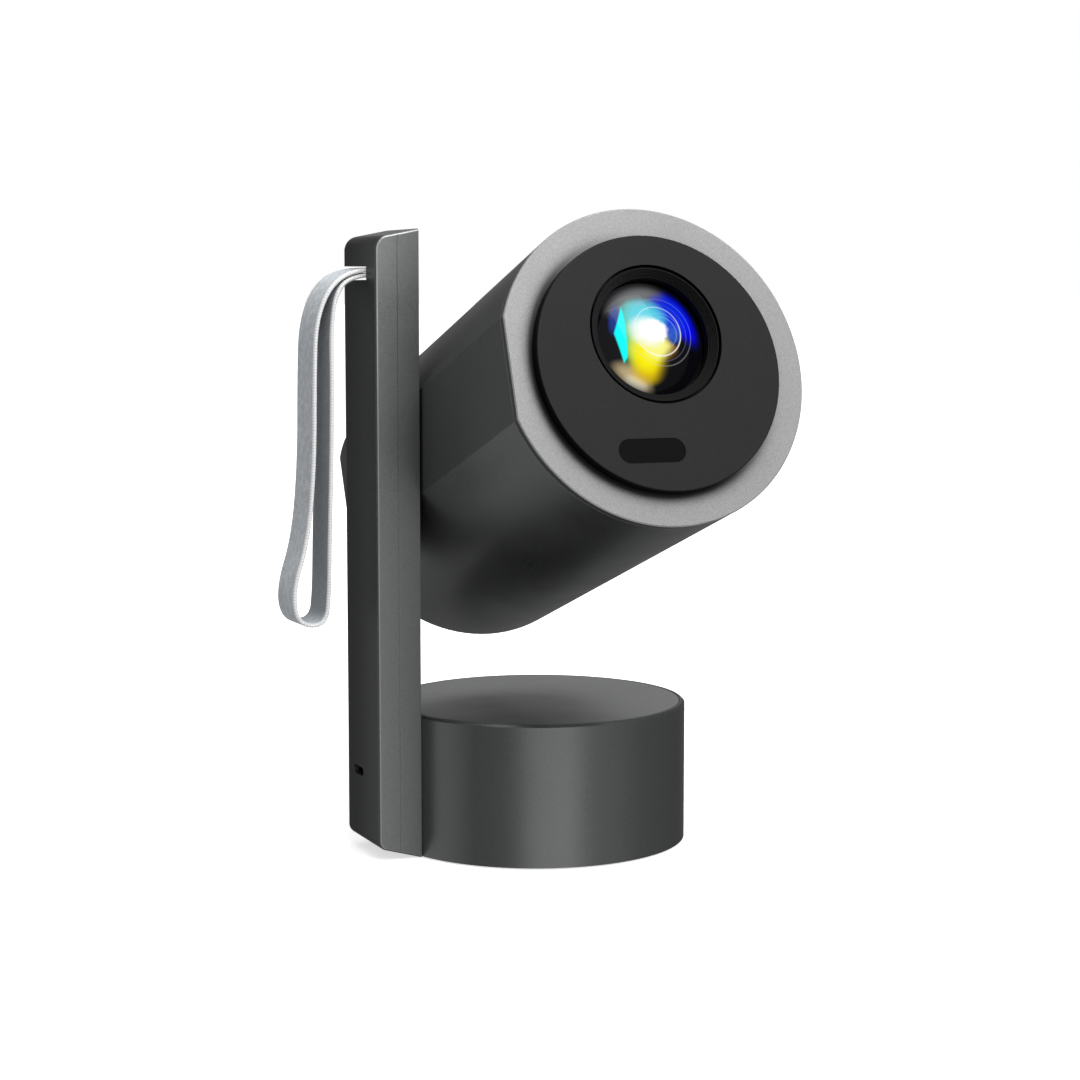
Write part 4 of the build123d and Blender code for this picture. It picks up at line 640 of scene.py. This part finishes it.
for part in frame["record"]["subparts"]:
    node = frame["nodes"].get(part["node"])
    finish = FINISHES.get(part["material_slot"])
    if node is not None and finish is not None:
        for place in node.material_slots:
            place.material = finish
for name, finish in SHELLS.items():
    for place in frame["nodes"][name].material_slots:
        place.material = finish


# ---------------------------------------------------------------- studio
AMBIENT = 0.32
# azimuth, half width fully lit, half width where it ends, in degrees, and strength
PANELS = [
    (-12, 14, 28, 0.90),
    (24, 8, 40, 0.24),
    (-130, 10, 40, 0.12),
    (-168, 6, 24, -0.10),
]
LIT_POINT = Vector((0, 0, 0.11))
FLOOR_HALF = 40.0


def plain_floor():
    """A wide pale floor that lights nothing itself."""
    mesh = bpy.data.meshes.new("floor")
    corners = [(x * FLOOR_HALF, y * FLOOR_HALF, 0) for x, y in ((-1, -1), (1, -1), (1, 1), (-1, 1))]
    mesh.from_pydata(corners, [], [(0, 1, 2, 3)])
    floor = bpy.data.objects.new("floor", mesh)
    bpy.context.scene.collection.objects.link(floor)
    f = Finish("floor")
    f.set(Base_Color=(0.80, 0.80, 0.80, 1), Roughness=0.9, Specular_IOR_Level=0.0,
          Emission_Color=(1, 1, 1, 1))
    from_object = f.tree.nodes.new("ShaderNodeVectorMath")
    from_object.operation = "LENGTH"
    f.wire(f.coordinates, from_object.inputs[0])
    f.wire(f.spread(from_object.outputs["Value"], 0.1, 0.5, 0.6, 1.0), f.shader.inputs["Emission Strength"])
    mesh.materials.append(f.material)
    floor.visible_diffuse = False
    floor.visible_glossy = False


def softbox(name, azimuth, elevation, distance, width, height, power):
    """Area light seen from the object at that azimuth (0 is the front, 90 the +X side) and elevation."""
    a, e = math.radians(azimuth), math.radians(elevation)
    way = Vector((math.sin(a) * math.cos(e), -math.cos(a) * math.cos(e), math.sin(e)))
    data = bpy.data.lights.new(name, "AREA")
    data.shape = "RECTANGLE"
    data.size, data.size_y = width, height
    data.energy = power
    lamp = bpy.data.objects.new(name, data)
    lamp.location = LIT_POINT + way * distance
    lamp.rotation_euler = way.to_track_quat("Z", "Y").to_euler()
    bpy.context.scene.collection.objects.link(lamp)


def studio_world():
    """White to the camera. What the object reflects is a ring of soft panels, by azimuth."""
    world = bpy.data.worlds.new("studio")
    bpy.context.scene.world = world
    world.use_nodes = True
    tree = world.node_tree
    tree.nodes.clear()

    def node(kind, operation=None):
        made = tree.nodes.new("ShaderNode" + kind)
        if operation:
            made.operation = operation
        return made

    flat = node("VectorMath", "MULTIPLY")
    flat.inputs[1].default_value = (1, 1, 0)
    tree.links.new(node("TexCoord").outputs["Generated"], flat.inputs[0])
    level_way = node("VectorMath", "NORMALIZE")
    tree.links.new(flat.outputs[0], level_way.inputs[0])
    total = None
    for azimuth, inner, outer, strength in PANELS:
        a = math.radians(azimuth)
        toward = node("VectorMath", "DOT_PRODUCT")
        toward.inputs[1].default_value = (math.sin(a), -math.cos(a), 0)
        tree.links.new(level_way.outputs[0], toward.inputs[0])
        panel = node("MapRange")
        panel.interpolation_type = "SMOOTHSTEP"
        panel.inputs["From Min"].default_value = math.cos(math.radians(outer))
        panel.inputs["From Max"].default_value = math.cos(math.radians(inner))
        panel.inputs["To Max"].default_value = strength
        tree.links.new(toward.outputs["Value"], panel.inputs["Value"])
        added = node("Math", "ADD")
        tree.links.new(panel.outputs["Result"], added.inputs[0])
        if total is None:
            added.inputs[1].default_value = AMBIENT
        else:
            tree.links.new(total, added.inputs[1])
        total = added.outputs[0]
    felt = node("Background")
    felt.inputs["Color"].default_value = (1, 1, 1, 1)
    tree.links.new(total, felt.inputs["Strength"])
    seen = node("Background")
    seen.inputs["Color"].default_value = (1, 1, 1, 1)
    either = node("MixShader")
    tree.links.new(node("LightPath").outputs["Is Camera Ray"], either.inputs["Fac"])
    tree.links.new(felt.outputs[0], either.inputs[1])
    tree.links.new(seen.outputs[0], either.inputs[2])
    tree.links.new(either.outputs[0], node("OutputWorld").inputs["Surface"])


plain_floor()
studio_world()
softbox("key", 20, 48, 1.3, 0.7, 0.7, 9.0)
softbox("top", 10, 80, 1.1, 0.8, 0.8, 6.0)
softbox("rear", 150, 40, 1.6, 0.9, 0.9, 6.0)
bpy.context.scene.view_settings.view_transform = "Standard"
